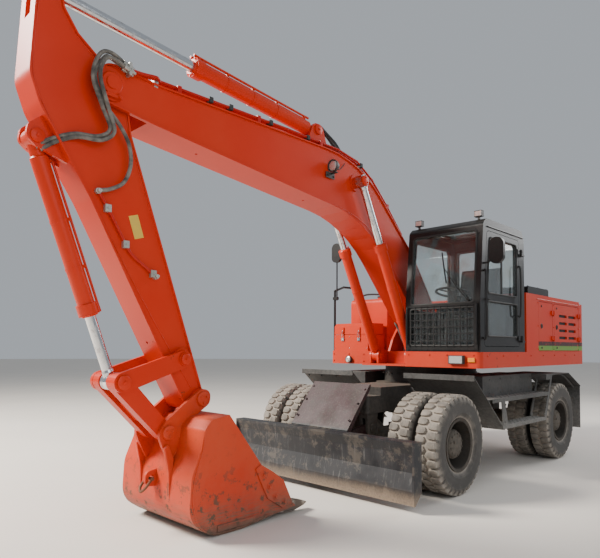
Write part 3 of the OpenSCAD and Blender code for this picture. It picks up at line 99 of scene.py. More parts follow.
class Look:
    """A material, or a shader group, in the making. Most methods add a node and give back what it puts out."""

    def __init__(self, name, group=None):
        if not group:
            self.material = bpy.data.materials.new(name)
            self.material.use_nodes = True
        self.tree = group or self.material.node_tree
        self.surface = self.tree.nodes.get("Principled BSDF")
        self.where = self.add("TexCoord").outputs

    def feed(self, socket, value):
        """Sets a socket to a value, or links it to the output that feeds it."""
        if isinstance(value, bpy.types.NodeSocket):
            self.tree.links.new(value, socket)
        else:
            socket.default_value = (*value, 1.0) if socket.type == "RGBA" else value

    def add(self, kind, inputs=(), **settings):
        """One shader node. inputs pairs a socket with a value or with the output that feeds it."""
        made = self.tree.nodes.new("ShaderNode" + kind)
        for name, value in settings.items():
            setattr(made, name, value)
        for socket, value in inputs:
            self.feed(made.inputs[socket], value)
        return made

    def surfaced(self, **levels):
        """Inputs of the Principled shader, each named with underscores for its spaces."""
        for label, value in levels.items():
            self.feed(self.surface.inputs[label.replace("_", " ")], value)

    def mixed(self, share, a, b):
        """Colour a turning into colour b by a share."""
        return self.add("Mix", ((0, share), (6, a), (7, b)), data_type="RGBA").outputs[2]

    def ramp(self, value, low, high, to_low=0.0, to_high=1.0):
        """A value stretched from one span to another, with soft ends."""
        return self.add("MapRange", (("Value", value), ("From Min", low), ("From Max", high),
                                     ("To Min", to_low), ("To Max", to_high)),
                        interpolation_type="SMOOTHSTEP").outputs["Result"]

    def maths(self, work, *values):
        """One sum of values or outputs."""
        return self.add("Math", enumerate(values), operation=work).outputs[0]

    def times(self, first, *others):
        """A product, worked from the left."""
        for value in others:
            first = self.maths("MULTIPLY", first, value)
        return first

    def plus(self, first, *others):
        """A total, worked from the left."""
        for value in others:
            first = self.maths("ADD", first, value)
        return first

    def minus(self, a, b):
        """A difference."""
        return self.maths("SUBTRACT", a, b)

    def noise(self, scale, detail=3.0, rough=0.55, where=None):
        """Cloudy noise between 0 and 1, on the piece unless another place is given."""
        return self.add("TexNoise", (("Vector", where or self.where["Object"]), ("Scale", scale),
                                     ("Detail", detail), ("Roughness", rough))).outputs["Fac"]

    def axes(self, vector=None):
        """The X, Y and Z of a vector, which is the place on the piece unless another is given."""
        return self.add("SeparateXYZ", (("Vector", vector or self.where["Object"]),)).outputs

    def stretched(self, **settings):
        """The place on the piece with its axes turned or stretched."""
        return self.add("Mapping", (("Vector", self.where["Object"]), *settings.items())).outputs[0]

    def bands(self, scale, along, distortion=0.0):
        """Even bands across one axis."""
        return self.add("TexWave", (("Vector", self.where["Object"]), ("Scale", scale),
                                    ("Distortion", distortion)), bands_direction=along).outputs["Fac"]

    def relief(self, height, strength, distance):
        """Bumps of the surface."""
        bump = self.add("Bump", (("Height", height), ("Strength", strength), ("Distance", distance)))
        self.surfaced(Normal=bump.outputs["Normal"])


def two_tone(name, a, b, scale, detail=3.0, **levels):
    """A finish clouded between two colours; levels are other inputs of its Principled shader."""
    look = Look(name)
    look.surfaced(Base_Color=look.mixed(look.noise(scale, detail), a, b), **levels)
    return look


# The concrete yard floor, pale and a little uneven in tone. It is not part of the machine.
FLOOR_R, FLOOR_SIDES = 70.0, 48
floor_mesh = bpy.data.meshes.new("floor")
floor_mesh.from_pydata([(FLOOR_R * math.cos(turn), FLOOR_R * math.sin(turn), 0.0)
                        for turn in (k * math.tau / FLOOR_SIDES for k in range(FLOOR_SIDES))],
                       [], [list(range(FLOOR_SIDES))])
floor = placed("floor", floor_mesh)
pale_floor = two_tone("pale_floor", (0.72, 0.665, 0.60), (0.80, 0.745, 0.68), 0.6, Roughness=0.85)
floor_mesh.materials.append(pale_floor.material)

# Chassis
# A welded box frame of black-painted plate, low between the axles, with the slewing ring on top.
# It is dusty on every ledge, and mud has dried on it low down.
SLEW = Vector((-1.345, -0.125, 0.0))
BLADE_PIVOT_X, BLADE_PIVOT_Z = 1.74, 0.62
FORE, LEFT, UP = Vector((1, 0, 0)), Vector((0, 1, 0)), Vector((0, 0, 1))
# The right and the left side: the sign of Y there, and the way out
SIDES = ((-1, -LEFT), (1, LEFT))


# Paint that has worked outdoors: cloudy fading, chips down to metal, dust that lies on ledges and low down.
DUST, RUST = (0.30, 0.25, 0.20), (0.12, 0.045, 0.02)
weathered = bpy.data.node_groups.new("weathered_paint", "ShaderNodeTree")
for label, value in (("Paint", (0.5, 0.05, 0.02)), ("Faded", (0.6, 0.1, 0.05)), ("Dust", DUST), ("Bare", RUST)):
    socket = weathered.interface.new_socket(label, in_out="INPUT", socket_type="NodeSocketColor")
    socket.default_value = (*value, 1.0)
for label, value in (("Fading", 0.5), ("Dustiness", 0.4), ("Dusty Below", 0.6), ("Chips", 0.1),
                     ("Chipped Below", 0.5), ("Gloss Roughness", 0.35)):
    socket = weathered.interface.new_socket(label, in_out="INPUT", socket_type="NodeSocketFloat")
    socket.default_value = value
for label, kind in (("Color", "Color"), ("Roughness", "Float"), ("Metallic", "Float"), ("Height", "Float")):
    weathered.interface.new_socket(label, in_out="OUTPUT", socket_type="NodeSocket" + kind)
paint = Look("", weathered)
given = weathered.nodes.new("NodeGroupInput").outputs
result = weathered.nodes.new("NodeGroupOutput").inputs
cloud = paint.noise(1.7, 4.0)
height = paint.axes()["Z"]
facing_up = paint.axes(paint.where["Normal"])["Z"]
low_down = paint.ramp(paint.minus(height, given["Dusty Below"]), -0.45, 0.35, 1.0, 0.0)
ledges = paint.ramp(facing_up, 0.5, 1.0, 0.0, 0.55)
dusty = paint.times(paint.plus(paint.times(low_down, 0.75), ledges, 0.25), given["Dustiness"],
                    paint.ramp(paint.noise(26.0, 5.0, 0.7), 0.25, 0.7, 0.55, 1.25),
                    paint.ramp(cloud, 0.25, 0.75, 0.7, 1.2))
dusty = paint.add("Clamp", (("Value", dusty), ("Max", 0.95))).outputs[0]
worn_low = paint.ramp(paint.minus(height, given["Chipped Below"]), -0.3, 0.3, 1.0, 0.12)
chip = paint.plus(paint.noise(11.0, 7.0, 0.72), paint.times(given["Chips"], 0.5))
chip = paint.times(paint.ramp(chip, 0.68, 0.72), worn_low)
fading = paint.times(paint.ramp(cloud, 0.3, 0.7), given["Fading"])
painted = paint.mixed(chip, paint.mixed(fading, given["Paint"], given["Faded"]), given["Bare"])
paint.feed(result["Color"], paint.mixed(dusty, painted, given["Dust"]))
paint.feed(result["Roughness"],
           paint.plus(given["Gloss Roughness"], paint.times(dusty, 0.5), paint.times(chip, 0.2)))
paint.feed(result["Metallic"], paint.times(chip, 0.35))
paint.feed(result["Height"], paint.plus(paint.times(paint.noise(140.0, 2.0), 0.15),
                                        paint.times(paint.minus(dusty, chip), 0.5)))


def coated(name, bump=0.12, coat=0.0, **levels):
    """A weathered painted finish. levels are the group's inputs that differ from what the group has."""
    look = Look(name)
    group = look.tree.nodes.new("ShaderNodeGroup")
    group.node_tree = weathered
    for label, value in levels.items():
        look.feed(group.inputs[label.replace("_", " ")], value)
    look.colour = group.outputs["Color"]
    look.surfaced(Base_Color=look.colour, Roughness=group.outputs["Roughness"],
                  Metallic=group.outputs["Metallic"], Specular_IOR_Level=0.2, Coat_Weight=coat,
                  Coat_Roughness=0.12)
    look.relief(group.outputs["Height"], bump, 0.004)
    return look


def spun(centre, out, radius, turn):
    """The point at a radius and a turn round a line along one axis of the machine."""
    u, w = (axis for axis, size in zip(Matrix.Identity(3), out) if not size)
    return Vector(centre) + radius * (math.cos(turn) * u + math.sin(turn) * w)


def circle(centre, out, radius, count, first=0.0):
    """Points spread round a line along one axis; first shifts them by a share of their spacing."""
    return [spun(centre, out, radius, (k + first) * math.tau / count) for k in range(count)]


class Metalwork:
    """Collects the faces of one piece, measured from the slewing ring's centre on the ground, then makes it an
    object that rides on a body."""

    def __init__(self):
        self.bm = bmesh.new()

    def _broken(self, verts, edge):
        """Takes the sharpness off edges."""
        edges = list({e for v in verts for e in v.link_edges})
        small = min(e.calc_length() for e in edges)
        if edge > 0:
            bmesh.ops.bevel(self.bm, geom=edges, offset=min(edge, small * 0.3), segments=1,
                            affect="EDGES", clamp_overlap=True)

    def block(self, low, high, edge=0.003):
        """A block between two corners with its edges broken."""
        made = bmesh.ops.create_cube(self.bm, size=1.0)["verts"]
        for v in made:
            v.co = Vector([min(a, b) + (share + 0.5) * abs(b - a) for share, a, b in zip(v.co, low, high)])
        self._broken(made, edge)

    def sheet(self, outline, y0, y1, edge=0.003):
        """A plate cut to an outline of (x, z) points, between two places across the machine."""
        base = [self.bm.verts.new((x, y0, z)) for x, z in outline]
        moved = bmesh.ops.extrude_face_region(self.bm, geom=[self.bm.faces.new(base)])["geom"]
        top = [v for v in moved if isinstance(v, bmesh.types.BMVert)]
        for v in top:
            v.co.y = y1
        self._broken(base + top, edge)

    def ring(self, centre, r, u, w, sides):
        """New corners round a circle, or one in its centre if it has no radius."""
        turns = [k * math.tau / sides for k in range(sides)] if r else [0.0]
        return [self.bm.verts.new(centre + r * (math.cos(t) * u + math.sin(t) * w)) for t in turns]

    def skin(self, rings, caps=()):
        """Faces between rings of corners that follow each other, and a flat face over each of the caps."""
        for p, q in zip(rings, rings[1:]):
            sides = max(len(p), len(q))
            for i in range(sides):
                j = (i + 1) % sides
                corners = [p[i % len(p)], p[j % len(p)], q[j % len(q)], q[i % len(q)]]
                self.bm.faces.new([v for k, v in enumerate(corners) if v not in corners[:k]])
        for ring in caps:
            if len(ring) > 1:
                self.bm.faces.new(ring)

    def turned(self, place, out, rows, sides=28):
        """A body of revolution. rows: distance from the place along out, radius. Rows that end as they began
        make a ring, open in the middle."""
        axis = Vector(out).normalized()
        u = axis.orthogonal().normalized()
        closed = rows[0] == rows[-1]
        rings = [self.ring(Vector(place) + axis * along, r, u, axis.cross(u), sides)
                 for along, r in (rows[:-1] if closed else rows)]
        self.skin(rings + rings[:1] if closed else rings, () if closed else (rings[0], rings[-1]))

    def cap(self, place, out, r, r_top, low=0.0, high=0.012, rise=0.004, sides=28, bolt=None, ring=()):
        """The flat round end of a pin, with a broken edge. It may carry one bolt in the middle, or several on a
        ring that is given by its radius, their count and the first one's shift."""
        self.turned(place, out, ((low, r), (high, r), (high + rise, r_top), (high + rise, 0.0)), sides)
        if bolt:
            top = Vector(place) + Vector(out) * (high + rise)
            self.bolts(circle(top, out, *ring) if ring else [top], out, bolt)

    def tube(self, points, r, sides=10, curve=4):
        """A tube of one radius along a smooth line through points, closed at both ends."""
        line = smooth_line(points, curve)
        side = (line[1] - line[0]).orthogonal().normalized()
        rings = []
        for i, p in enumerate(line):
            way = (line[min(i + 1, len(line) - 1)] - line[max(i - 1, 0)]).normalized()
            side = (side - way * side.dot(way)).normalized()
            rings.append(self.ring(p, r, side, way.cross(side), sides))
        self.skin(rings, (rings[0], rings[-1]))

    def bolt(self, place, out, r=0.012, tall=None):
        """A hexagon head on its washer, standing out from a surface."""
        place, out = Vector(place), Vector(out).normalized()
        tall = tall or r * 0.8
        self.turned(place - out * 0.002, out, ((0, r * 1.25), (0.002 + r * 0.18, r * 1.25)), 12)
        self.turned(place, out, ((0, r), (tall - r * 0.12, r), (tall, r * 0.86)), 6)

    def bolts(self, places, out, r=0.012, tall=None):
        """Bolts at several places."""
        for place in places:
            self.bolt(place, out, r, tall)

    def make(self, name, body, finish, slot, stands_for=(), sharp=35.0):
        """The finished object, smooth but for its sharp edges, riding on its body."""
        bmesh.ops.translate(self.bm, verts=self.bm.verts, vec=SLEW)
        bmesh.ops.recalc_face_normals(self.bm, faces=self.bm.faces)
        mesh = bpy.data.meshes.new(name)
        self.bm.to_mesh(mesh)
        self.bm.free()
        mesh.shade_smooth()
        mesh.set_sharp_from_angle(angle=math.radians(sharp))
        mesh.materials.append(finish.material)
        piece = placed(name, mesh)
        if body:
            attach(piece, body)
        if stands_for:
            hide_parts(*stands_for)
        return piece


def smooth_line(points, steps):
    """Points of a smooth curve through the given ones."""
    p = [Vector(q) for q in points]
    if steps < 2 or len(p) < 3:
        return p
    p = [2 * p[0] - p[1], *p, 2 * p[-1] - p[-2]]
    line = []
    for a, b, c, d in zip(p, p[1:], p[2:], p[3:]):
        for i in range(steps):
            t = i / steps
            line.append(0.5 * (2 * b + (c - a) * t + (2 * a - 5 * b + 4 * c - d) * t * t
                               + (3 * b - 3 * c + d - a) * t ** 3))
    return line + [p[-2]]


def grid(*values):
    """Every crossing of the given x, y and z, each a number or several."""
    return itertools.product(*(v if isinstance(v, tuple) else (v,) for v in values))


def clad(finish, *names):
    """Gives CAD nodes a finish."""
    for name in names:
        materials = node[name].data.materials
        materials.clear()
        materials.append(finish.material)


black_paint = coated("black_paint", Paint=(0.010, 0.011, 0.013), Faded=(0.028, 0.030, 0.034), Fading=0.7,
                     Dustiness=0.55, Dusty_Below=0.75, Chips=0.12, Chipped_Below=0.9, Gloss_Roughness=0.38)
clad(black_paint, "chassis_frame")

# Slewing ring bolts, bolts of the front axle's seat and of the frame's sides, caps of the blade's pivots.
chassis = Metalwork()
chassis.bolts(circle((0, 0, 1.170), UP, 0.642, 36), UP, 0.013)
for side, out in SIDES:
    for x, way in ((1.725, 1), (1.235, -1)):
        chassis.bolt((x, side * 0.11, 0.745), way * FORE, 0.013)
    chassis.bolts(grid((-1.78, -1.60, -1.20, -0.98), side * 0.316, (0.84, 0.99)), out, 0.014)
    chassis.cap((BLADE_PIVOT_X, side * 0.31, BLADE_PIVOT_Z), out, 0.045, 0.03, -0.012, 0.008, sides=20)
chassis.make("chassis_bolts", "chassis", black_paint, "black_paint")

# Wheels
# Eight road tyres on steel rims, two to a wheel, each pair bolted to one planetary hub.
# Chunky hexagonal blocks interlock along the middle, shoulder lugs run down to plain grey-brown walls.
FRONT_X, REAR_X, WHEEL_Z = 1.48, -1.38, 0.515
WHEELS = {"front_left": (FRONT_X, 1), "front_right": (FRONT_X, -1),
          "rear_left": (REAR_X, 1), "rear_right": (REAR_X, -1)}
PAIR_Y, HALF_PITCH, BLOCKS = 0.943, 0.159, 34
TREAD_MIDDLE_R = 0.5
# Half of a tyre's wall from the bead out to the tread; columns: radius, side, mud
TYRE_WALL = ((0.257, 0.088, 0.6), (0.272, 0.095, 0.6), (0.286, 0.100, 0.8), (0.300, 0.113, 0.3),
             (0.325, 0.125, 0.15), (0.331, 0.129, 0.25), (0.337, 0.1275, 0.1), (0.365, 0.132, 0.05),
             (0.405, 0.1335, 0.05), (0.435, 0.131, 0.15), (0.441, 0.1325, 0.3), (0.448, 0.129, 0.3),
             (0.468, 0.122, 0.55), (0.484, 0.110, 0.9), (0.489, 0.085, 1.0), (0.490, 0.045, 1.0))
# One tread block in plan; columns: along the tread, out from the middle
TREAD_BLOCK = ((0.000, 0.003), (0.030, 0.020), (0.036, 0.060), (0.034, 0.100), (0.026, 0.110),
               (-0.026, 0.110), (-0.034, 0.100), (-0.036, 0.060), (-0.030, 0.020))
# The block from its root to its worn top; columns: radius, size, mud
BLOCK_LAYERS = ((0.486, 1.06, 1.0), (0.500, 1.0, 0.8), (0.5115, 0.97, 0.6), (0.5142, 0.87, 0.58))
# The shoulder lug from the tread down the wall; columns: radius, side, half its width, mud
LUG = ((0.486, 0.108, 0.010, 0.9), (0.492, 0.116, 0.012, 0.4), (0.470, 0.1265, 0.014, 0.3),
       (0.446, 0.1315, 0.013, 0.3), (0.442, 0.126, 0.012, 0.6))


def road_tyre(tyre, mud, centre, side):
    """One tyre about an axle along Y; mud is the layer of corners' values that says how dirty they are."""
    def put(turn, radius, y, dirt):
        v = tyre.bm.verts.new(centre + Vector((radius * math.cos(turn), side * y, radius * math.sin(turn))))
        v[mud] = dirt
        return v

    section = [*TYRE_WALL, *((r, -y, m) for r, y, m in reversed(TYRE_WALL))]
    rings = [[put(i * math.pi / BLOCKS, r, y, m) for i in range(2 * BLOCKS)] for r, y, m in section]
    tyre.skin(rings + rings[:1])
    for row, k in itertools.product((-1, 1), range(BLOCKS)):
        turn = (k + (0.5 if row > 0 else 0.0)) * math.tau / BLOCKS
        layers = [[put(turn + s * size / TREAD_MIDDLE_R, radius - 0.002 * (t / 0.11) ** 2,
                       row * (0.058 + (t - 0.058) * size), dirt) for s, t in TREAD_BLOCK]
                  for radius, size, dirt in BLOCK_LAYERS]
        tyre.skin(layers, layers[-1:])
        # Shoulder lug below the gap between two blocks
        lug = [[put(turn + math.pi / BLOCKS + s * half / TREAD_MIDDLE_R, r, row * y, dirt) for s in (-1, 1)]
               for r, y, half, dirt in LUG]
        for p, q in zip(lug, lug[1:]):
            tyre.bm.faces.new((p[0], p[1], q[1], q[0]))
        for s in (0, 1):
            tyre.bm.faces.new([pair[s] for pair in lug])


# Rubber: dull black on the block tops, brown dried mud between them, dust on the walls.
tyre_rubber = look = Look("tyre_rubber")
blotch, grain = look.noise(9.0, 5.0, 0.65), look.noise(90.0)
muddy = look.plus(look.add("Attribute", attribute_name="mud").outputs["Fac"],
                  look.times(look.minus(blotch, 0.5), 1.1))
muddy = look.ramp(muddy, 0.05, 0.95, 0.10, 0.9)
rubber_tone = look.mixed(grain, (0.026, 0.025, 0.025), (0.050, 0.048, 0.047))
mud_tone = look.mixed(look.noise(24.0, 4.0), (0.24, 0.205, 0.170), (0.44, 0.390, 0.330))
look.surfaced(Base_Color=look.mixed(muddy, rubber_tone, mud_tone), Roughness=0.88)
look.relief(look.plus(grain, look.times(muddy, blotch)), 0.35, 0.004)

# Rim paint is nearly hidden under brown dust. The dish between hub and rim edge gets painted shade: it is
# darker than the dusty hub because the shade it lies in is painted into its colour.
rim_paint = look = coated("rim_paint", Paint=(0.014, 0.014, 0.015), Faded=(0.035, 0.033, 0.031),
                          Dust=(0.13, 0.112, 0.093), Fading=0.7, Dustiness=0.85, Dusty_Below=0.9, Chips=0.2,
                          Chipped_Below=1.2, Gloss_Roughness=0.5)
spot = look.axes()
rise = look.maths("POWER", look.minus(spot["Z"], WHEEL_Z), 2.0)
to_axles = [look.maths("POWER", look.minus(spot["X"], x + SLEW.x), 2.0) for x in (FRONT_X, REAR_X)]
reach = look.maths("SQRT", look.plus(look.maths("MINIMUM", *to_axles), rise))
# Painted shade: the dish between hub and rim edge is mixed towards near-black (0.018, 0.016, 0.015).
dish_shade = look.times(look.ramp(reach, 0.156, 0.175), look.ramp(reach, 0.225, 0.262, 0.8, 0.25))
look.surfaced(Base_Color=look.mixed(dish_shade, look.colour, (0.018, 0.016, 0.015)))
for name, (x, side) in WHEELS.items():
    tyres = Metalwork()
    mud = tyres.bm.verts.layers.float.new("mud")
    for off in (-HALF_PITCH, HALF_PITCH):
        road_tyre(tyres, mud, Vector((x, side * (PAIR_Y + off), WHEEL_Z)), side)
    clad(tyre_rubber, "tyres_" + name)
    tyres.make("tyres_" + name + "_tread", "wheel_" + name, tyre_rubber, "tyre_rubber", ("tyres_" + name,),
               sharp=32.0)
    clad(rim_paint, "rims_" + name)
    hub, out, middle = Metalwork(), side * LEFT, Vector((x, side * PAIR_Y, WHEEL_Z))
    # Wheel nuts on their studs, the bolts of the hub's cover, its drain plug, and the valves of both tyres
    hub.bolts(circle(middle + 0.016 * out, out, 0.172, 10), out, 0.014, 0.020)
    for place in circle(middle + 0.010 * out, out, 0.172, 10):
        hub.turned(place, out, ((0.0, 0.0075), (0.0015, 0.009), (0.0365, 0.009), (0.038, 0.0075)), 10)
    hub.bolts(circle(middle + 0.228 * out, out, 0.112, 12, 0.5), out, 0.009)
    hub.bolt(spun(middle + 0.232 * out, out, 0.060, 0.5), out, 0.016)
    for turn, y in ((0.7, 0.06), (3.9, -0.05)):
        hub.tube([spun(middle + (y + off) * out, out, radius, turn)
                  for radius, off in ((0.238, 0.0), (0.232, 0.02), (0.226, 0.06))], 0.005, 8, 3)
    # The planetary reduction's drum comes out nearly as far as the rim's edge
    hub.turned(middle + 0.02 * out, out,
               ((0.0, 0.154), (0.012, 0.154), (0.016, 0.147), (0.150, 0.144), (0.156, 0.149), (0.174, 0.149),
                (0.178, 0.143), (0.192, 0.139), (0.204, 0.126), (0.208, 0.100), (0.212, 0.090), (0.213, 0.0)), 40)
    hub.make("wheel_" + name + "_nuts", "wheel_" + name, rim_paint, "rim_paint")

# Axles and steering
# The oscillating front axle carries the knuckles and one steering cylinder behind its beam; the gearbox
# and travel motor sit on the rear axle, and a shaft runs forward from them.
clad(black_paint, "front_axle", "rear_axle", "knuckle_left", "knuckle_right")
chrome_rod = look = Look("chrome_rod")
film = look.noise(14.0, 5.0, 0.7)
look.surfaced(Base_Color=look.mixed(look.ramp(film, 0.45, 0.75, 0.0, 0.55), (0.62, 0.63, 0.65), (0.22, 0.19, 0.17)),
              Roughness=look.ramp(film, 0.4, 0.75, 0.12, 0.5), Metallic=1.0)
clad(chrome_rod, "steering_rod", "blade_rods", "boom_rods", "arm_rod", "bucket_rod")
FLANGE_Y, FLANGE_BOLTS_R = 0.886, 0.125
for body, side in (("knuckle_left", 1), ("knuckle_right", -1)):
    kingpin = Metalwork()
    for way in (1, -1):
        kingpin.cap((FRONT_X, side * 0.59, WHEEL_Z + way * 0.165), way * UP, 0.062, 0.056, sides=24, bolt=0.007,
                    ring=(0.048, 6))
    # The wheel flange's bolts
    kingpin.bolts(circle((FRONT_X, side * FLANGE_Y, WHEEL_Z), LEFT, FLANGE_BOLTS_R, 12), -side * LEFT, 0.008)
    kingpin.make(body + "_caps", body, black_paint, "black_paint")
axles = Metalwork()
for x in (FRONT_X, REAR_X):
    for side, out in SIDES:
        axles.bolts(circle((x, side * 0.118, WHEEL_Z), LEFT, 0.168, 16, 0.5), out, 0.008)
    # Filler plug on top and drain plug below
    axles.bolt((x + 0.06, 0.0, WHEEL_Z + 0.186), (0.3, 0, 1), 0.016)
    axles.bolt((x, 0.05, WHEEL_Z - 0.194), -UP, 0.016)
for side, out in SIDES:
    axles.bolts(circle((REAR_X, side * FLANGE_Y, WHEEL_Z), LEFT, FLANGE_BOLTS_R, 10, 0.5), -out, 0.008)
    # Gland of the steering cylinder
    axles.turned((1.33, side * 0.328, 0.325), out,
                 ((-0.02, 0.046), (0.004, 0.046), (0.008, 0.036), (0.008, 0.024)), 20)
axles.bolts(grid(-0.76, (-0.14, 0.14), (0.60, 0.44)), FORE)
axles.bolts(circle((-0.6, 0.0, WHEEL_Z), FORE, 0.088, 6), FORE, 0.009)
axles.make("axle_fittings", "chassis", black_paint, "black_paint")

# Side decks and steps
# Pressed steel guards over the tyres, a closed box between the axles and two open steps with raised lips.
# The treads are punched for grip, and every flat face holds dust.
deck_paint = coated("deck_paint", Paint=(0.016, 0.017, 0.019), Faded=(0.042, 0.043, 0.045),
                    Dust=(0.36, 0.34, 0.31), Fading=0.8, Dustiness=0.65, Dusty_Below=0.75, Chips=0.15,
                    Chipped_Below=1.0, Gloss_Roughness=0.42)
clad(deck_paint, "deck_left", "deck_right")


def across_at(y, *points):
    """Points given by x and z, all at one place across the machine."""
    return [(x, y, z) for x, z in points]


GRIP_PITCH = 0.05
decks = Metalwork()
for side, out in SIDES:
    for x0, x1, y0, y1, z in ((-0.88, 0.60, 1.055, 1.230, 0.940), (-0.74, 0.50, 1.065, 1.230, 0.620)):
        for k, y in itertools.product(range(int((x1 - x0) / GRIP_PITCH)), (y0 + 0.03, (y0 + y1) / 2, y1 - 0.03)):
            place = (x0 + (k + 0.5) * GRIP_PITCH, side * (y + (0.008 if k % 2 else -0.008)), z)
            decks.turned(place, UP, ((0, 0.010), (0.003, 0.0075), (0.0032, 0.004), (0.001, 0.003)), 8)
    # Bolts of the guards, the box's cover and the fender stays
    decks.bolts(grid((-0.74, -0.44, -0.14, 0.16, 0.46), side * 1.055, (0.98, 1.14)), out, 0.008)
    decks.bolts(across_at(side * 1.2455, (-0.72, 0.66), (-0.76, 0.86), (0.46, 0.66), (0.46, 0.86)), out, 0.009)
    decks.bolts([(1.16, side * y, 1.13) for y in (0.70, 0.95, 1.18)], (0.7, 0, -0.6), 0.009)
    # Tubular stays under the rear fenders
    for y in (0.66, 1.15):
        decks.tube(across_at(side * y, (-0.87, 1.155), (-1.2, 1.150), (-1.62, 1.145), (-2.11, 0.945)), 0.014)
decks.make("step_grip", "chassis", deck_paint, "black_paint")

# Blade
# A dozer blade across the front, worn to bare steel: dark scratched face, pale vertical scores, tan earth along
# the cutting edge. Its sloping cover plate is rusty crimson. Notes chalked on the real one are left off.
blade_steel = look = Look("blade_steel")
spot = look.axes()
scores = look.noise(1.6, 6.0, 0.72, look.stretched(Scale=(14.0, 26.0, 1.6)))
patches, fine = look.noise(2.6, 5.0, 0.6), look.noise(60.0, 4.0)
face_tone = look.mixed(look.ramp(patches, 0.35, 0.68), (0.008, 0.009, 0.012), (0.028, 0.028, 0.031))
pale = look.times(look.ramp(scores, 0.54, 0.70), look.ramp(patches, 0.35, 0.65, 0.0, 0.8))
face_tone = look.mixed(pale, face_tone, (0.24, 0.23, 0.22))
flaked = look.ramp(look.noise(5.5, 8.0, 0.75), 0.50, 0.60, 0.0, 0.55)
face_tone = look.mixed(flaked, face_tone, (0.115, 0.095, 0.075))
earth = look.ramp(look.plus(spot["Z"], look.times(patches, 0.10)), 0.12, 0.27, 1.0, 0.0)
earth = look.times(earth, look.ramp(fine, 0.3, 0.6, 0.6, 0.95))
face_tone = look.mixed(earth, face_tone, (0.25, 0.185, 0.13))
# The cover and the arms behind the face keep some crimson paint
FACE_BACK_X = 2.27 + SLEW.x
behind = look.ramp(spot["X"], FACE_BACK_X - 0.01, FACE_BACK_X + 0.01, 1.0, 0.0)
cover_tone = look.mixed(look.ramp(look.noise(5.0, 6.0, 0.68), 0.40, 0.66), (0.034, 0.008, 0.011),
                        (0.030, 0.016, 0.014))
cover_tone = look.mixed(look.ramp(fine, 0.5, 0.75, 0.0, 0.14), cover_tone, DUST)
look.surfaced(Base_Color=look.mixed(behind, face_tone, cover_tone),
              Metallic=look.times(pale, look.minus(0.85, behind)),
              Roughness=look.ramp(patches, 0.3, 0.7, 0.42, 0.72))
look.relief(look.plus(scores, look.times(fine, 0.3)), 0.35, 0.004)
clad(blade_steel, "blade")
blade = Metalwork()
# Countersunk bolts of the cutting edge, weld runs of the end plates, pin caps and the cover's bolts
EDGE_BOLTS, EDGE_BOLT_PITCH = 16, 0.156
for k in range(EDGE_BOLTS):
    blade.turned((2.392, (k - (EDGE_BOLTS - 1) / 2) * EDGE_BOLT_PITCH, 0.135), FORE,
                 ((-0.004, 0.017), (0.003, 0.017), (0.003, 0.008), (-0.002, 0.007)), 14)
for y, way in ((-0.286, -1), (-0.204, 1), (0.204, -1), (0.286, 1)):
    blade.cap((BLADE_PIVOT_X, y, BLADE_PIVOT_Z), way * LEFT, 0.048, 0.040, sides=24)
for side in (-1, 1):
    blade.tube(across_at(side * 1.222, (2.29, 0.22), (2.27, 0.40), (2.27, 0.62)), 0.007, 8, 2)
    blade.bolts(across_at(side * 0.37 - 0.02, (2.218, 0.751), (2.068, 0.916), (1.938, 1.056)), (0.75, 0, 0.66), 0.011)
blade.make("blade_fittings", "blade", blade_steel, "worn_steel")
cylinder_paint = coated("cylinder_paint", Paint=(0.58, 0.024, 0.003), Faded=(0.60, 0.040, 0.010),
                        Dust=(0.40, 0.16, 0.09), Dustiness=0.1, Chips=0.15, Chipped_Below=0.8,
                        Gloss_Roughness=0.32)


def cylinder_dressing(name, body, foot, eye, y, r, length, pipes, straps):
    """What is bolted on a hydraulic cylinder: its gland and the gland's screws, pipes with their ports, and
    straps, which are given as shares of the length."""
    dressing = Metalwork()
    foot, eye = Vector((foot[0], y, foot[1])), Vector((eye[0], y, eye[1]))
    way = (eye - foot).normalized()
    over = Vector((-way.z, 0.0, way.x)) * math.copysign(1.0, way.x)
    top = foot + way * length
    gland = ((-0.3, 1.17), (-0.3, 1.245), (-0.22, 1.245), (-0.2, 1.17), (-0.3, 1.17))
    dressing.turned(top, way, [(r * along, r * radius) for along, radius in gland])
    for k in range(8):
        turn = (k + 0.5) * math.tau / 8
        around = math.cos(turn) * over + math.sin(turn) * LEFT
        dressing.bolt(top - way * r * 0.3 + around * r * 1.07, way, r * 0.13, r * 0.2)
    pipe_r = max(r * 0.16, 0.008)
    inner, outer = r * 0.99, r * 1.05
    for share in straps:
        dressing.turned(foot + way * length * share, way,
                        ((-0.012, inner), (-0.012, outer), (0.012, outer), (0.012, inner), (-0.012, inner)))
    for pipe in pipes:
        aside = LEFT * pipe * r * 0.35
        line = over * (r * 1.22 + pipe_r) + aside
        lift = line.normalized() * pipe_r
        start, stop = foot + way * r * 2.4 + line, foot + way * (length - r * 0.9) + line
        dressing.tube((start - lift * 1.2, start, start + way * r * 0.5, stop - way * r * 0.5, stop,
                       stop - lift * 2.2), pipe_r, 8)
        for place in (start, stop):
            dressing.turned(place - lift * 2.6, line,
                            ((0, pipe_r * 1.7), (pipe_r * 1.8, pipe_r * 1.7), (pipe_r * 1.8, pipe_r)), 6)
        for share in straps:
            place = foot + way * (length * share - 0.013) + over * (r * 1.1 + pipe_r) + aside
            dressing.turned(place, way, ((0, pipe_r * 1.5), (0.026, pipe_r * 1.5), (0.026, pipe_r)), 10)
    dressing.make(name, body, cylinder_paint, "orange_paint")


clad(cylinder_paint, "blade_cylinders", "boom_cylinders", "arm_cylinder", "bucket_cylinder")
for number, y in ((1, -0.06), (2, 0.06)):
    cylinder_dressing("blade_cylinder_fittings_%d" % number, "blade_cylinders", (1.875, 0.905), (2.25, 0.44), y,
                      0.045, 0.35, (0,), ())

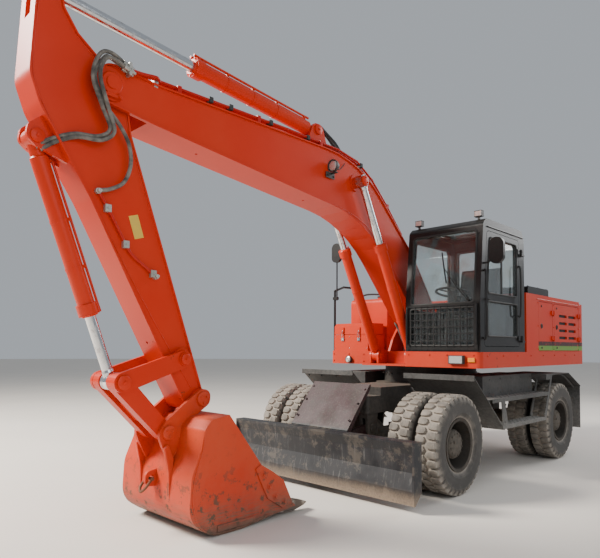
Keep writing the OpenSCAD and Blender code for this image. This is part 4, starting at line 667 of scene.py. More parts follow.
# House
# The slewing platform with a steel toolbox at its right front corner, two tanks, the engine house with its side
# doors and hood, and a cast counterweight. Sun-faded orange paint, dusty, chipped along its edges.
# The boom's middle plane, the house's side, and by x and z the pins of the boom's and its cylinders' feet
BOOM_Y, SIDE_Y = -0.05, 1.2455
BOOM_FOOT, CYLINDER_FOOT = (0.15, 1.82), (0.79, 1.405)
house_levels = dict(Paint=(0.57, 0.022, 0.003), Faded=(0.57, 0.042, 0.012), Dust=(0.38, 0.19, 0.12), Fading=0.6,
                    Dustiness=0.18, Dusty_Below=1.30, Chips=0.06, Chipped_Below=1.5, Gloss_Roughness=0.34,
                    coat=0.05)
house_paint = coated("house_paint", **house_levels)
clad(house_paint, "platform", "tanks", "toolbox_lid", "hood")
# The sides of the house carry a stripe: black over lime green, low down, under the doors' sills.
striped_paint = look = coated("striped_paint", **house_levels)
spot = look.axes()
ends = look.times(look.maths("LESS_THAN", spot["X"], -0.545 + SLEW.x),
                  look.maths("GREATER_THAN", spot["X"], -2.29 + SLEW.x),
                  look.maths("GREATER_THAN", look.maths("ABSOLUTE", look.minus(spot["Y"], SLEW.y)), 1.235))
scuffed = look.ramp(look.noise(22.0, 6.0, 0.7), 0.34, 0.46, 0.25, 0.92)
tone = look.colour
for low, high, colour in ((1.484, 1.546, (0.10, 0.30, 0.05)), (1.546, 1.602, (0.012, 0.012, 0.014))):
    band = look.times(look.maths("GREATER_THAN", spot["Z"], low), look.maths("LESS_THAN", spot["Z"], high))
    tone = look.mixed(look.times(band, ends, scuffed), tone, colour)
look.surfaced(Base_Color=tone)
clad(striped_paint, "engine_house", "cooler_door", "filter_door", "counterweight")
clad(coated("engine_paint", Paint=(0.045, 0.047, 0.050), Faded=(0.08, 0.08, 0.08), Dustiness=0.6,
            Dusty_Below=1.5, Chipped_Below=1.6, Gloss_Roughness=0.5), "engine")
cab_black = coated("cab_black", Paint=(0.0055, 0.006, 0.007), Faded=(0.016, 0.017, 0.019), Fading=0.6,
                   Dustiness=0.14, Dusty_Below=1.2, Chips=0.04, Chipped_Below=1.4, Gloss_Roughness=0.3, coat=0.08,
                   bump=0.03)
clad(cab_black, "air_box")

# Bolts along the foot brackets, caps of the boom's foot pin and of the boom cylinders' feet, bolts of the
# platform's edges and of the slewing ring under it.
platform = Metalwork()
for side, out in SIDES:
    platform.bolts(grid((-0.40, -0.20, 0.05, 0.30), BOOM_Y + side * 0.228, 1.52), out, 0.014)
    x, z = BOOM_FOOT
    platform.cap((x, BOOM_Y + side * 0.242, z), out, 0.078, 0.070, -0.004, rise=0.006, sides=32, bolt=0.009,
                 ring=(0.058, 6, 0.5))
    x, z = CYLINDER_FOOT
    for way in (-1, 1):
        y = BOOM_Y + side * 0.265 + way * 0.071
        platform.cap((x, y, z), way * LEFT, 0.052, 0.044, -0.002, 0.010, sides=24, bolt=0.012)
platform.bolts(grid(0.6205, (-1.19, -0.92, -0.66), (1.42, 1.325)), FORE, 0.011)
platform.bolts(grid(1.0705, (0.34, 0.62, 0.84, 1.16), 1.43), FORE, 0.010)
platform.bolts(grid((-1.9, -1.5, -1.1, -0.7, -0.3, 0.1, 0.5, 0.9), SIDE_Y, 1.42), LEFT, 0.009)
platform.bolts(grid((-1.9, -1.5, -1.1, -0.7, -0.3, 0.1, 0.5), -SIDE_Y, 1.42), -LEFT, 0.009)
platform.bolts(circle((0, 0, 1.2105), UP, 0.46, 24), -UP, 0.013)
platform.make("deck_fittings", "house", house_paint, "orange_paint")

# Toolbox: two over-centre latches and screws along the front.
toolbox = Metalwork()
for y in (-1.055, -0.77):
    toolbox.block((0.605, y - 0.004, 1.60), (0.621, y + 0.044, 1.645), 0.002)
    toolbox.tube(((0.612, y + 0.006, 1.64), (0.626, y + 0.006, 1.70), (0.622, y + 0.02, 1.752),
                  (0.626, y + 0.034, 1.70), (0.612, y + 0.034, 1.64)), 0.003, 8)
    toolbox.bolt((0.622, y + 0.02, 1.612), FORE, 0.006)
toolbox.bolts(grid(0.605, (-1.18, -0.92, -0.62), (1.50, 1.66)), FORE, 0.006)
toolbox.make("toolbox_fittings", "house", chrome_rod, "chrome_rod")

# Door furniture: flush locks, rubber buffers, and the drip rail over both side doors.
for name, x in (("cooler_door", -1.20), ("filter_door", -0.66)):
    lock = Metalwork()
    lock.turned((x, 1.2435, 1.80), LEFT,
                ((0, 0.034), (0.004, 0.034), (0.006, 0.030), (0.003, 0.024), (0.003, 0.0)), 24)
    lock.block((x - 0.006, 1.244, 1.775), (x + 0.006, 1.254, 1.825), 0.002)
    for z in (1.52, 2.06):
        lock.cap((x, 1.2435, z), LEFT, 0.014, 0.010, high=0.006, rise=0.002, sides=14)
    lock.make(name + "_lock", name, black_paint, "black_paint")
trim = Metalwork()
trim.tube(((-2.10, 1.249, 2.145), (-1.3, 1.249, 2.145), (-0.50, 1.249, 2.145)), 0.006, 8, 1)
trim.bolts(grid((-2.08, -1.08, -0.54), SIDE_Y, (1.50, 1.80, 2.10)), LEFT, 0.008)
trim.bolts(grid((-2.06, -1.75, -1.45, -1.22), -SIDE_Y, (1.50, 2.14)), -LEFT, 0.008)
# Louvres of the cooling air on the right side
for k in range(9):
    z = 1.60 + k * 0.055
    trim.sheet(((-2.02, z), (-1.26, z), (-1.26, z + 0.006), (-2.02, z + 0.006)), -1.247, -1.262, 0.001)
trim.make("house_trim", "house", striped_paint, "orange_paint")
# Plugs in the counterweight's tail and its two lifting loops
weight = Metalwork()
for y in (-0.55, 0.55):
    weight.cap((-2.7, y, 1.35), -FORE, 0.03, 0.02, -0.05, 0.01, 0.002, 14)
for y in (-0.8, 0.8):
    weight.tube(across_at(y, (-2.36, 2.10), (-2.36, 2.15), (-2.33, 2.165), (-2.30, 2.15), (-2.30, 2.10)), 0.012)
weight.make("weight_bolts", "house", black_paint, "black_paint")

# Mesh behind the hood's slots and the cooler door's louvres
MESH_PITCH = 0.012
mesh_black = look = Look("mesh_black")
spot = look.axes()
wires = []
for axis in "XYZ":
    share = look.maths("FRACT", look.maths("DIVIDE", spot[axis], MESH_PITCH))
    wires.append(look.ramp(look.maths("ABSOLUTE", look.minus(share, 0.5)), 0.30, 0.42))
wires = look.maths("MAXIMUM", look.maths("MAXIMUM", wires[0], wires[1]), wires[2])
look.surfaced(Base_Color=look.mixed(wires, (0.006, 0.006, 0.006), (0.06, 0.058, 0.055)), Roughness=0.7)
for name, body, low, high in (("hood_mesh", "hood", (-1.86, -0.29, 2.186), (-0.96, 0.29, 2.190)),
                              ("louvre_mesh", "cooler_door", (-1.98, 1.216, 1.62), (-1.26, 1.220, 1.99))):
    screen = Metalwork()
    screen.block(low, high, 0.0)
    screen.make(name, body, mesh_black, "black_paint")
# Screws of the black box on the hood, the exhaust beside it, the fillers of both tanks and the rail along them
roof = Metalwork()
roof.bolts(grid((-1.02, -0.72, -0.40), (0.868, 1.172), 2.305), UP, 0.010)
roof.tube(((-1.08, 0.72, 2.18), (-1.08, 0.72, 2.32), (-1.08, 0.74, 2.38), (-1.11, 0.78, 2.43)), 0.045, 20, 5)
roof.turned((-1.08, 0.72, 2.199), UP, ((0, 0.075), (0.01, 0.075), (0.014, 0.05)))
for x in (-0.80, -0.15):
    roof.cap((x, -0.90, 2.262), UP, 0.066, 0.058, high=0.018, rise=0.006)
    roof.bolts(circle((x, -0.90, 2.218), UP, 0.085, 8), UP, 0.006)
roof.tube(across_at(-1.14, (-0.02, 2.21), (-0.02, 2.30), (-0.30, 2.34), (-0.62, 2.34), (-0.92, 2.30), (-0.92, 2.21)),
          0.014)
roof.make("roof_fittings", "house", black_paint, "black_paint")

# Cab
# A steel cab with rubber-sealed panes on every side and a hinged door. Matt black inside, dust on the glass,
# a mesh guard over the lower front, work lamps on the roof, and an air-sprung seat behind two consoles.
clad(cab_black, "cab", "cab_door", "front_guard", "rails_and_mirrors")
window_glass = look = Look("window_glass")
grime = look.ramp(look.noise(3.0, 5.0, 0.6), 0.4, 0.8)
look.surfaced(Base_Color=look.mixed(grime, (0.86, 0.93, 0.93), (0.74, 0.72, 0.66)), Roughness=0.0,
              Transmission_Weight=0.97, IOR=1.45)
clad(window_glass, "cab_glass", "door_glass")
rubber_black = two_tone("rubber_black", (0.010, 0.010, 0.010), (0.030, 0.028, 0.026), 8.0, 4.0, Roughness=0.65)
trim_plastic = two_tone("trim_plastic", (0.022, 0.022, 0.024), (0.045, 0.043, 0.042), 6.0, Roughness=0.7)
trim_plastic.relief(trim_plastic.noise(300.0, 2.0), 0.25, 0.001)
clad(trim_plastic, "cab_interior")


def rounded_loop(corners, radius, steps=5):
    """Points round a closed outline of corners with every corner rounded."""
    loop, count = [], len(corners)
    for i in range(count):
        a, b, c = (Vector(corners[(i + k - 1) % count]) for k in range(3))
        r = min(radius, (a - b).length * 0.45, (c - b).length * 0.45)
        start, end = b + (a - b).normalized() * r, b + (c - b).normalized() * r
        for k in range(steps + 1):
            t = k / steps
            loop.append(start.lerp(b, t).lerp(b.lerp(end, t), t))
    return loop


def seal(work, corners, radius, r, sides=8):
    """A closed rubber bead along a rounded outline."""
    loop = rounded_loop(corners, radius)
    middle = sum(loop, Vector()) / len(loop)
    normal = (loop[0] - middle).cross(loop[len(loop) // 4] - middle).normalized()
    rings = []
    for i, p in enumerate(loop):
        way = (loop[(i + 1) % len(loop)] - loop[i - 1]).normalized()
        rings.append(work.ring(p, r, way.cross(normal).normalized(), normal, sides))
    work.skin(rings + rings[:1])


def front_pane(z0, z1, x0, x1, y0=0.370, y1=1.170):
    """The corners of a pane that looks ahead or back."""
    return (x0, y0, z0), (x0, y1, z0), (x1, y1, z1), (x1, y0, z1)


seals = Metalwork()
seal(seals, across_at(0.305, (0.06, 1.95), (0.955, 1.95), (0.935, 2.20), (0.865, 2.79), (0.06, 2.79)), 0.06, 0.009)
seal(seals, front_pane(1.534, 1.96, 1.066, 1.066), 0.03, 0.010)
seal(seals, front_pane(2.01, 2.82, 1.060, 0.985), 0.05, 0.013)
seal(seals, front_pane(2.15, 2.78, -0.122, -0.122), 0.05, 0.012)
# The roof hatch
seal(seals, ((0.20, 0.43, 2.952), (0.70, 0.43, 2.952), (0.70, 1.11, 2.952), (0.20, 1.11, 2.952)), 0.04, 0.010)
seals.make("cab_seals", "house", rubber_black, "black_paint")
door = Metalwork()
seal(door, across_at(1.2405, (0.11, 2.12), (0.895, 2.12), (0.830, 2.75), (0.11, 2.75)), 0.05, 0.010)
seal(door, across_at(1.2405, (0.11, 1.64), (0.895, 1.64), (0.895, 2.03), (0.11, 2.03)), 0.04, 0.010)
# The sliding panes' middle bar, the grab bar, the handle and the lock
door.block((0.475, 1.215, 2.12), (0.505, 1.232, 2.75))
door.tube(((0.10, 1.242, 1.90), (0.10, 1.285, 1.93), (0.10, 1.285, 2.45), (0.10, 1.242, 2.48)), 0.011, 10, 5)
door.tube(((0.880, 1.247, 2.046), (0.885, 1.272, 2.046), (0.93, 1.272, 2.046), (0.935, 1.247, 2.046)), 0.008, 8)
door.cap((0.905, 1.2405, 1.985), LEFT, 0.016, 0.012, high=0.008, rise=0.002, sides=16)
door.make("door_seals", "cab_door", rubber_black, "black_paint")

# Outside the cab: grab rails on the front posts, screws, gutter, roof hatch handle, and the wiper.
cab = Metalwork()
for y in (0.335, 1.205):
    cab.tube(((1.066, y, 1.56), (1.094, y, 1.59), (1.094, y, 1.95), (1.066, y, 1.98)), 0.011, 10, 5)
cab.tube(((1.01, 1.242, 1.62), (1.01, 1.282, 1.66), (1.01, 1.282, 2.30), (0.985, 1.242, 2.36)), 0.012, 10, 5)
for y in (0.35, 1.19):
    cab.bolts(across_at(y, (1.054, 2.06), (1.042, 2.30), (1.018, 2.55), (0.992, 2.78)), (1, 0, 0.1), 0.009)
cab.bolts(grid((0.0, 0.3, 0.6, 0.85), 0.2995, (1.52, 2.86)), -LEFT, 0.009)
cab.tube(((-0.08, 1.245, 2.862), (0.4, 1.245, 2.864), (0.88, 1.245, 2.862)), 0.007, 8, 1)
cab.block((0.30, 0.72, 2.951), (0.36, 0.82, 2.962))
cab.cap((1.052, 1.10, 2.045), (0.948, 0, 0.085), 0.022, 0.016, -0.02, 0.022, sides=16)
cab.tube(((1.082, 1.10, 2.045), (1.078, 0.98, 2.18), (1.060, 0.82, 2.40)), 0.006, 8, 3)
cab.tube(((1.068, 0.84, 2.24), (1.050, 0.80, 2.44), (1.032, 0.77, 2.60)), 0.008, 6, 3)
for k in range(11):
    cab.bolts(grid(1.079, 0.354 + k * 0.082, (1.985, 1.490)), FORE, 0.006)
cab.make("cab_fittings", "house", cab_black, "black_paint")

# Lamps: clear lenses in front of ribbed reflectors, amber side light, and the mirrors' glass.
lens_clear = look = Look("lens_clear")
look.surfaced(Base_Color=look.mixed(look.bands(28.0, "Y"), (0.50, 0.50, 0.47), (0.85, 0.85, 0.82)), Metallic=0.55,
              Roughness=0.18, Coat_Weight=1.0)
lens_amber = two_tone("lens_amber", (0.80, 0.22, 0.01), (0.95, 0.33, 0.02), 40.0, Roughness=0.2, Coat_Weight=1.0)
mirror_glass = two_tone("mirror_glass", (0.55, 0.58, 0.60), (0.68, 0.70, 0.71), 6.0, Metallic=1.0, Roughness=0.06)
lamp_housing = two_tone("lamp_housing", (0.018, 0.018, 0.020), (0.07, 0.062, 0.055), 12.0, 4.0, Roughness=0.5)
clad(lamp_housing, "lamps")
lenses, frames = Metalwork(), Metalwork()
for y in (0.39, 1.15):
    lenses.block((0.9148, y - 0.039, 2.986), (0.9185, y + 0.039, 3.044), 0.0015)
    frames.bolt((0.89, y, 2.952), UP, 0.010)
    for z in (2.982, 3.042):
        frames.block((0.862, y - 0.046, z), (0.921, y + 0.046, z + 0.008), 0.002)
lenses.block((1.1098, 0.888, 1.338), (1.1140, 1.052, 1.417), 0.0015)
lenses.turned((0.660, -0.90, 1.345), FORE,
              ((0.0, 0.040), (0.003, 0.040), (0.009, 0.028), (0.011, 0.012), (0.012, 0.0)))
lenses.make("lamp_lenses", "house", lens_clear, "lamp_housing")
frames.turned((0.652, -0.90, 1.345), FORE, ((0.0, 0.050), (0.010, 0.050), (0.014, 0.042), (0.010, 0.040)))
for y in (0.886, 1.048):
    frames.block((1.10, y, 1.334), (1.117, y + 0.006, 1.421), 0.002)
frames.make("lamp_trim", "house", lamp_housing, "lamp_housing")
side_light = Metalwork()
side_light.block((1.072, 1.10, 1.350), (1.088, 1.18, 1.400), 0.004)
side_light.make("side_light", "house", lens_amber, "lamp_housing")
# The mirrors' panes: flat rounded plates that face the rear
PANE_HALF_W, PANE_HALF_H = 0.070, 0.128
panes = Metalwork()
for x, y, z in ((1.0848, 1.45, 2.54), (0.5518, -1.177, 2.88)):
    corners = [(x, y + s * PANE_HALF_W, z + t * PANE_HALF_H) for s, t in ((-1, -1), (1, -1), (1, 1), (-1, 1))]
    loop = rounded_loop(corners, PANE_HALF_W * 0.9, 6)
    front = [panes.bm.verts.new(p) for p in loop]
    back = [panes.bm.verts.new(p + Vector((-0.002, (y - p.y) * 0.04, (z - p.z) * 0.04))) for p in loop]
    panes.skin((front, back), (front, back))
panes.make("mirror_panes", "house", mirror_glass, "window_glass")

# Seat: foam cushions under worn dark cloth, with seams and side bolsters, on a bellows and slides.
seat_cloth = look = two_tone("seat_cloth", (0.030, 0.031, 0.034), (0.075, 0.070, 0.065), 7.0, 4.0, Roughness=0.92,
                             Sheen_Weight=0.3)
look.relief(look.times(look.bands(260.0, "Y", 0.6), look.bands(260.0, "Z", 0.6)), 0.4, 0.001)


def cushion(name, centre, ahead_of, over, half_w, half_l, thick, bolster):
    """A foam cushion: crowned in the middle, raised along both sides, its rim drawn in by the seam."""
    aside = over.cross(ahead_of).normalized()
    work = Metalwork()
    rows, cols = 18, 16
    for top in (1, -1):
        net = []
        for i in range(rows + 1):
            u = -1 + 2 * i / rows
            line = []
            for j in range(cols + 1):
                v = -1 + 2 * j / cols
                edge = max(0.0, (1 - abs(u) ** 6) * (1 - abs(v) ** 6)) ** 0.5
                raised = bolster * math.exp(-((abs(v) - 0.78) / 0.16) ** 2)
                seam = 0.05 * math.exp(-((abs(v) - 0.55) / 0.05) ** 2)
                crown = 0.55 + 0.28 * (1 - u * u) + raised - seam if top > 0 else 0.35
                line.append(work.bm.verts.new(centre + ahead_of * (u * (1 - 0.07 * v * v) * half_l)
                                              + aside * (v * (1 - 0.07 * u * u) * half_w)
                                              + over * (edge * thick * crown * top)))
            net.append(line)
        for i, j in itertools.product(range(rows), range(cols)):
            work.bm.faces.new((net[i][j], net[i + 1][j], net[i + 1][j + 1], net[i][j + 1])[::top])
    bmesh.ops.remove_doubles(work.bm, verts=work.bm.verts, dist=0.0004)
    piece = work.make(name, "house", seat_cloth, "trim_plastic", sharp=60.0)


SEAT_Y = 0.770
cushion("seat_cushion", Vector((0.345, SEAT_Y, 1.893)), Vector((1, 0, 0.05)).normalized(),
        Vector((-0.05, 0, 1)).normalized(), 0.245, 0.235, 0.085, 0.22)
cushion("seat_back", Vector((0.124, SEAT_Y, 2.225)), Vector((-0.16, 0, 1)).normalized(),
        Vector((1, 0, 0.16)).normalized(), 0.235, 0.275, 0.075, 0.25)

# Boom
# A one-piece welded box boom, cranked upward, with welded seams, a fork at its nose and twin pipes along its
# top left edge. Two cylinders lift it from the platform. Satin orange, faded along the top, scuffed at the nose.
boom_paint = coated("boom_paint", Paint=(0.58, 0.022, 0.002), Faded=(0.60, 0.036, 0.007), Dust=(0.40, 0.18, 0.11),
                    Dustiness=0.08, Dusty_Below=0.9, Chips=0.05, Chipped_Below=2.0, Gloss_Roughness=0.32,
                    coat=0.02)
clad(boom_paint, "boom", "arm", "idlers", "bucket_link")
red_pipe = coated("red_pipe", Paint=(0.44, 0.008, 0.005), Faded=(0.46, 0.020, 0.012), Dust=(0.38, 0.16, 0.10),
                  Dustiness=0.15, Dusty_Below=0.8, Chips=0.12, Chipped_Below=2.5, Gloss_Roughness=0.3)
clad(red_pipe, "boom_pipes")
# The pins of the linkage by x and z
BOOM_NOSE, BOOM_EYE, ARM_FOOT, ARM_EYE = (4.82, 3.49), (1.82, 3.375), (2.35, 3.868), (5.27, 4.11)
BUCKET_FOOT, BUCKET_EYE = (5.32, 2.98), (4.68, 1.225)
UPPER_SEAM = ((0.62, 2.648), (1.10, 3.072), (1.46, 3.378), (1.70, 3.520), (1.95, 3.592), (2.30, 3.632), (4.30, 3.604))
LOWER_SEAM = ((0.45, 1.95), (0.90, 2.340), (1.30, 2.690), (1.62, 2.930), (2.05, 3.046), (2.40, 3.083), (4.30, 3.285))
WELD_R = 0.0045
boom = Metalwork()
for side, out in SIDES:
    for seam in (UPPER_SEAM, LOWER_SEAM):
        boom.tube(across_at(BOOM_Y + side * 0.1665, *seam), WELD_R, 6)
    # Nose pin: a boss with a bright worn centre, held by a keeper bar and two bolts
    x, z = BOOM_NOSE
    y = BOOM_Y + side * 0.180
    boom.turned((x, y, z), out, ((0.0, 0.085), (0.020, 0.085), (0.026, 0.078), (0.026, 0.050), (0.034, 0.048),
                                 (0.034, 0.0)), 36)
    boom.block((4.735, y, 3.385), (4.905, y + side * 0.022, 3.412))
    boom.bolts(grid((4.755, 4.885), y + side * 0.022, 3.398), out)
    # Pin of the boom cylinder's eye
    x, z = BOOM_EYE
    y = BOOM_Y + side * (0.265 + 0.045)
    boom.cap((x, y, z), out, 0.060, 0.052, -0.001, 0.014, bolt=0.008, ring=(0.034, 3, 0.75))
    # Arm cylinder's foot pin
    x, z = ARM_FOOT
    boom.cap((x, BOOM_Y + side * 0.082, z), out, 0.056, 0.048, -0.002, bolt=0.012)
boom.make("boom_fittings", "boom", boom_paint, "orange_paint")
# Work lamp on its bracket on the boom's left side: housing, bracket bolts with the cable, and lens
LAMP_Y, LAMP_WAY = 0.182, (1.0, 0.0, -0.035)
work_lamp = Metalwork()
work_lamp.block((2.195, 0.128, 3.330), (2.335, 0.137, 3.395), 0.002)
work_lamp.block((2.215, 0.128, 3.385), (2.255, 0.202, 3.395), 0.002)
work_lamp.turned((2.235, LAMP_Y, 3.390), UP, ((0, 0.012), (0.035, 0.012)), 12)
work_lamp.turned((2.265, LAMP_Y, 3.455), LAMP_WAY,
                 ((-0.058, 0.0), (-0.055, 0.022), (-0.044, 0.044), (-0.008, 0.062), (0.020, 0.066), (0.028, 0.066),
                  (0.028, 0.058), (0.016, 0.056), (0.016, 0.0)), 32)
work_lamp.make("boom_lamp", "boom", lamp_housing, "lamp_housing")
cable = Metalwork()
cable.bolts(grid((2.215, 2.310), 0.137, 3.355), LEFT, 0.009)
cable.tube(((2.205, LAMP_Y, 3.458), (2.17, 0.172, 3.44), (2.10, 0.140, 3.47), (2.02, 0.135, 3.55)), 0.005, 8)
cable.make("boom_lamp_cable", "boom", rubber_black, "hose_rubber")
glass = Metalwork()
glass.turned((2.265, LAMP_Y, 3.455), LAMP_WAY, ((0.0165, 0.056), (0.022, 0.048), (0.026, 0.025), (0.027, 0.0)))
glass.make("boom_lamp_lens", "boom", lens_clear, "lamp_housing")
# Black clamps over the twin pipes, and two hoses from the arm cylinder's ports over the boom's top
clamps = Metalwork()
for x, z in ((3.865, 3.683), (3.638, 3.687), (3.136, 3.693), (2.60, 3.693), (1.70, 3.612)):
    clamps.block((x - 0.022, 0.045, z - 0.030), (x + 0.022, 0.128, z + 0.020), 0.004)
    clamps.bolt((x, 0.087, z + 0.020), UP, 0.008)
clamps.tube(((2.345, -0.02, 3.91), (2.30, 0.0, 3.93), (2.144, -0.02, 3.885), (2.058, 0.02, 3.80), (2.02, 0.06, 3.71)),
            0.016, 10, 6)
clamps.tube(((2.345, -0.08, 3.91), (2.28, -0.10, 3.94), (2.12, -0.07, 3.90), (2.00, -0.05, 3.80), (1.95, 0.02, 3.70)),
            0.016, 10, 6)
clamps.make("pipe_clamps", "boom", rubber_black, "hose_rubber")

# Cylinders of the boom, the arm and the bucket, with the flanged pipes up their backs
for label, side in (("left", 1), ("right", -1)):
    cylinder_dressing("boom_cylinder_fittings_" + label, "boom_cylinders", CYLINDER_FOOT, BOOM_EYE,
                      BOOM_Y + side * 0.265, 0.062, 1.48, (0,), (0.33, 0.62))
cylinder_dressing("arm_cylinder_fittings", "arm_cylinder", ARM_FOOT, ARM_EYE, BOOM_Y, 0.072, 1.62, (-1, 1),
                  (0.36, 0.56, 0.76))
cylinder_dressing("bucket_cylinder_fittings", "bucket_cylinder", BUCKET_FOOT, BUCKET_EYE, BOOM_Y, 0.065, 1.33, (0,),
                  (0.45, 0.72))

# Arm
# A tapering welded box hung on the boom's nose, with the bucket's cylinder on its front. A blank yellow label is
# stuck on its left side; a red pipe in zinc clamps runs down it to a coupling for tools.
FRONT_SEAM = ((4.02, 1.16), (4.50, 1.885), (4.90, 2.54), (5.26, 3.13), (5.375, 3.42), (5.34, 4.02))
REAR_SEAM = ((3.945, 1.20), (4.30, 2.215), (4.62, 3.12), (4.70, 3.50), (4.87, 3.62), (5.08, 3.79))
arm = Metalwork()
for side, out in SIDES:
    for seam in (FRONT_SEAM, REAR_SEAM):
        arm.tube(across_at(BOOM_Y + side * 0.1265, *seam), WELD_R, 6, 3)
    for (x, z), r, off in ((ARM_EYE, 0.052, 0.140), (BUCKET_FOOT, 0.050, 0.088), ((4.13, 1.40), 0.045, 0.214)):
        arm.cap((x, BOOM_Y + side * off, z), out, r, r * 0.85, -0.002, bolt=0.012)
arm.make("arm_fittings", "arm", boom_paint, "orange_paint")
zinc = two_tone("zinc", (0.30, 0.29, 0.26), (0.55, 0.54, 0.50), 30.0, 4.0, Metallic=0.7, Roughness=0.45)
ARM_SIDE = 0.0765
PIPE_WAY = ((4.889, 2.661), (4.810, 2.545), (4.655, 2.290), (4.600, 2.215), (4.500, 2.145), (4.385, 2.065))
pipe = Metalwork()
pipe.tube(across_at(ARM_SIDE + 0.018, *PIPE_WAY), 0.012, 10, 3)
pipe.make("arm_pipe", "arm", red_pipe, "red_pipe")
clamps = Metalwork()
for x, z in (PIPE_WAY[1], PIPE_WAY[2], (4.41, 2.085)):
    clamps.block((x - 0.026, ARM_SIDE - 0.003, z - 0.030), (x + 0.026, ARM_SIDE + 0.036, z + 0.030), 0.004)
    clamps.bolt((x, ARM_SIDE + 0.036, z), LEFT, 0.009)
for x, z in (PIPE_WAY[0], PIPE_WAY[-1]):
    clamps.turned((x, ARM_SIDE - 0.004, z), LEFT, ((0, 0.024), (0.034, 0.024), (0.036, 0.017), (0.058, 0.017),
                                                   (0.060, 0.012)), 6)
clamps.make("arm_clamps", "arm", zinc, "chrome_rod")
label_yellow = two_tone("label_yellow", (0.75, 0.48, 0.03), (0.55, 0.38, 0.08), 20.0, 4.0, Roughness=0.5)
sticker = Metalwork()
sticker.sheet(((4.625, 2.520), (4.545, 2.545), (4.488, 2.370), (4.568, 2.345)), ARM_SIDE - 0.001, ARM_SIDE + 0.001, 0)
sticker.make("label", "arm", label_yellow, "orange_paint")

# Hoses between boom and arm: wire-braided rubber, grey with dust, held by crimped couplings at both ends.
hose_rubber = look = Look("hose_rubber")
dusty = look.ramp(look.noise(11.0, 5.0), 0.35, 0.7)
look.surfaced(Base_Color=look.mixed(dusty, (0.055, 0.052, 0.048), (0.21, 0.19, 0.165)), Roughness=0.8)
look.relief(look.noise(160.0), 0.3, 0.002)
clad(hose_rubber, "arm_hoses", "foot_hoses")
HOSE_R, FOOT_HOSE_R, FOOT_HOSES = 0.0155, 0.0175, 6
run = Metalwork()
for points in (((4.700, 0.118, 3.640), (4.830, 0.136, 3.684), (4.895, 0.152, 3.650), (4.962, 0.155, 3.490),
                (4.870, 0.155, 3.302), (4.742, 0.150, 3.170), (4.668, 0.145, 3.050), (4.650, 0.140, 2.900),
                (4.700, 0.132, 2.760), (4.800, 0.120, 2.690), (4.889, 0.115, 2.661)),
               ((4.700, 0.156, 3.640), (4.835, 0.175, 3.665), (4.905, 0.185, 3.620), (4.935, 0.190, 3.480),
                (4.860, 0.185, 3.260), (4.810, 0.175, 3.110), (4.900, 0.150, 3.030), (5.060, 0.110, 3.020),
                (5.200, 0.060, 2.960), (5.290, 0.020, 2.890)),
               ((4.700, 0.137, 3.676), (4.835, 0.158, 3.712), (4.930, 0.168, 3.665), (4.985, 0.172, 3.480),
                (4.905, 0.168, 3.280), (4.835, 0.160, 3.130), (4.920, 0.140, 3.055), (5.080, 0.100, 3.040),
                (5.230, 0.050, 2.975), (5.320, 0.010, 2.905))):
    run.tube(points, HOSE_R, 12, 8)
hoses = run.make("arm_hose_run", None, hose_rubber, "hose_rubber", ("arm_hoses",))
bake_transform(hoses)
ends = Metalwork()
for y, z in ((0.118, 3.640), (0.156, 3.640), (0.137, 3.676)):
    ends.turned((4.66, y, z - 0.010), (1.0, 0.12, 0.21), ((-0.03, 0.014), (0.0, 0.018), (0.0, 0.024), (0.022, 0.024),
                                                          (0.022, 0.0195), (0.075, 0.0195)), 12)
ends.block((4.40, 0.040, 3.600), (4.44, 0.120, 3.672), 0.004)
ends.block((4.668, 0.098, 3.590), (4.692, 0.176, 3.694))
ends.make("hose_ends", "boom", zinc, "chrome_rod")
pipes = Metalwork()
for y0, y1 in ((0.068, 0.118), (0.106, 0.156)):
    pipes.tube(((4.375, y0, 3.665), (4.395, y0 + 0.012, 3.665), (4.43, y1 - 0.006, 3.662), (4.46, y1, 3.660),
                (4.56, y1, 3.646), (4.665, y1, 3.640)), 0.013, 10, 5)
pipes.make("boom_end_pipes", "boom", red_pipe, "red_pipe")
# Foot hoses: a bundle that rises from the swing joint's port between the brackets and turns up along the boom
run, ends = Metalwork(), Metalwork()
for k in range(FOOT_HOSES):
    middle, odd = k - (FOOT_HOSES - 1) / 2, k % 2
    y, spread = BOOM_Y + 0.04 * middle, 0.03 * middle
    run.tube(((0.38, y, 1.466), (0.385, y, 1.54), (0.415 + 0.012 * odd, y + spread * 0.3, 1.63),
              (0.47, y + spread * 0.5, 1.74 + 0.01 * odd), (0.52, y + spread, 1.87), (0.60, y + spread, 2.02)),
             FOOT_HOSE_R, 12, 6)
    ends.turned((0.38, y, 1.464), UP,
                ((0, 0.019), (0.012, 0.019), (0.012, 0.0205), (0.05, 0.0205), (0.054, 0.018)), 12)
foot = run.make("foot_hose_run", None, hose_rubber, "hose_rubber", ("foot_hoses",))
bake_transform(foot)
ends.make("foot_hose_ends", "house", rubber_black, "hose_rubber")

# Bucket
# A digging bucket of thick plate with five cast teeth, side cutters and a lifting eye on its back. Orange paint
# is left on the upper plates; low down it is scratched to brown steel and the teeth are bare.
bucket_steel = look = coated("bucket_steel", Paint=(0.58, 0.028, 0.003), Faded=(0.62, 0.075, 0.022),
                             Dust=(0.30, 0.20, 0.14), Bare=(0.11, 0.062, 0.042), Fading=0.6, Dustiness=0.22,
                             Dusty_Below=0.35, Chips=0.24, Chipped_Below=0.42, Gloss_Roughness=0.40, bump=0.3)
spot = look.axes()
scratch = look.noise(2.4, 7.0, 0.78, look.stretched(Rotation=(0.0, 0.5, 0.0), Scale=(2.5, 2.5, 34.0)))
low = look.ramp(look.plus(spot["Z"], look.times(look.noise(4.0, 4.0), 0.25)), 0.17, 0.48, 1.0, 0.0)
heel = look.ramp(look.plus(spot["Z"], look.times(scratch, 0.10)), 0.09, 0.16, 0.9, 0.0)
rubbed = look.maths("MAXIMUM", look.times(low, look.ramp(scratch, 0.42, 0.58, 0.25, 1.0)), heel)
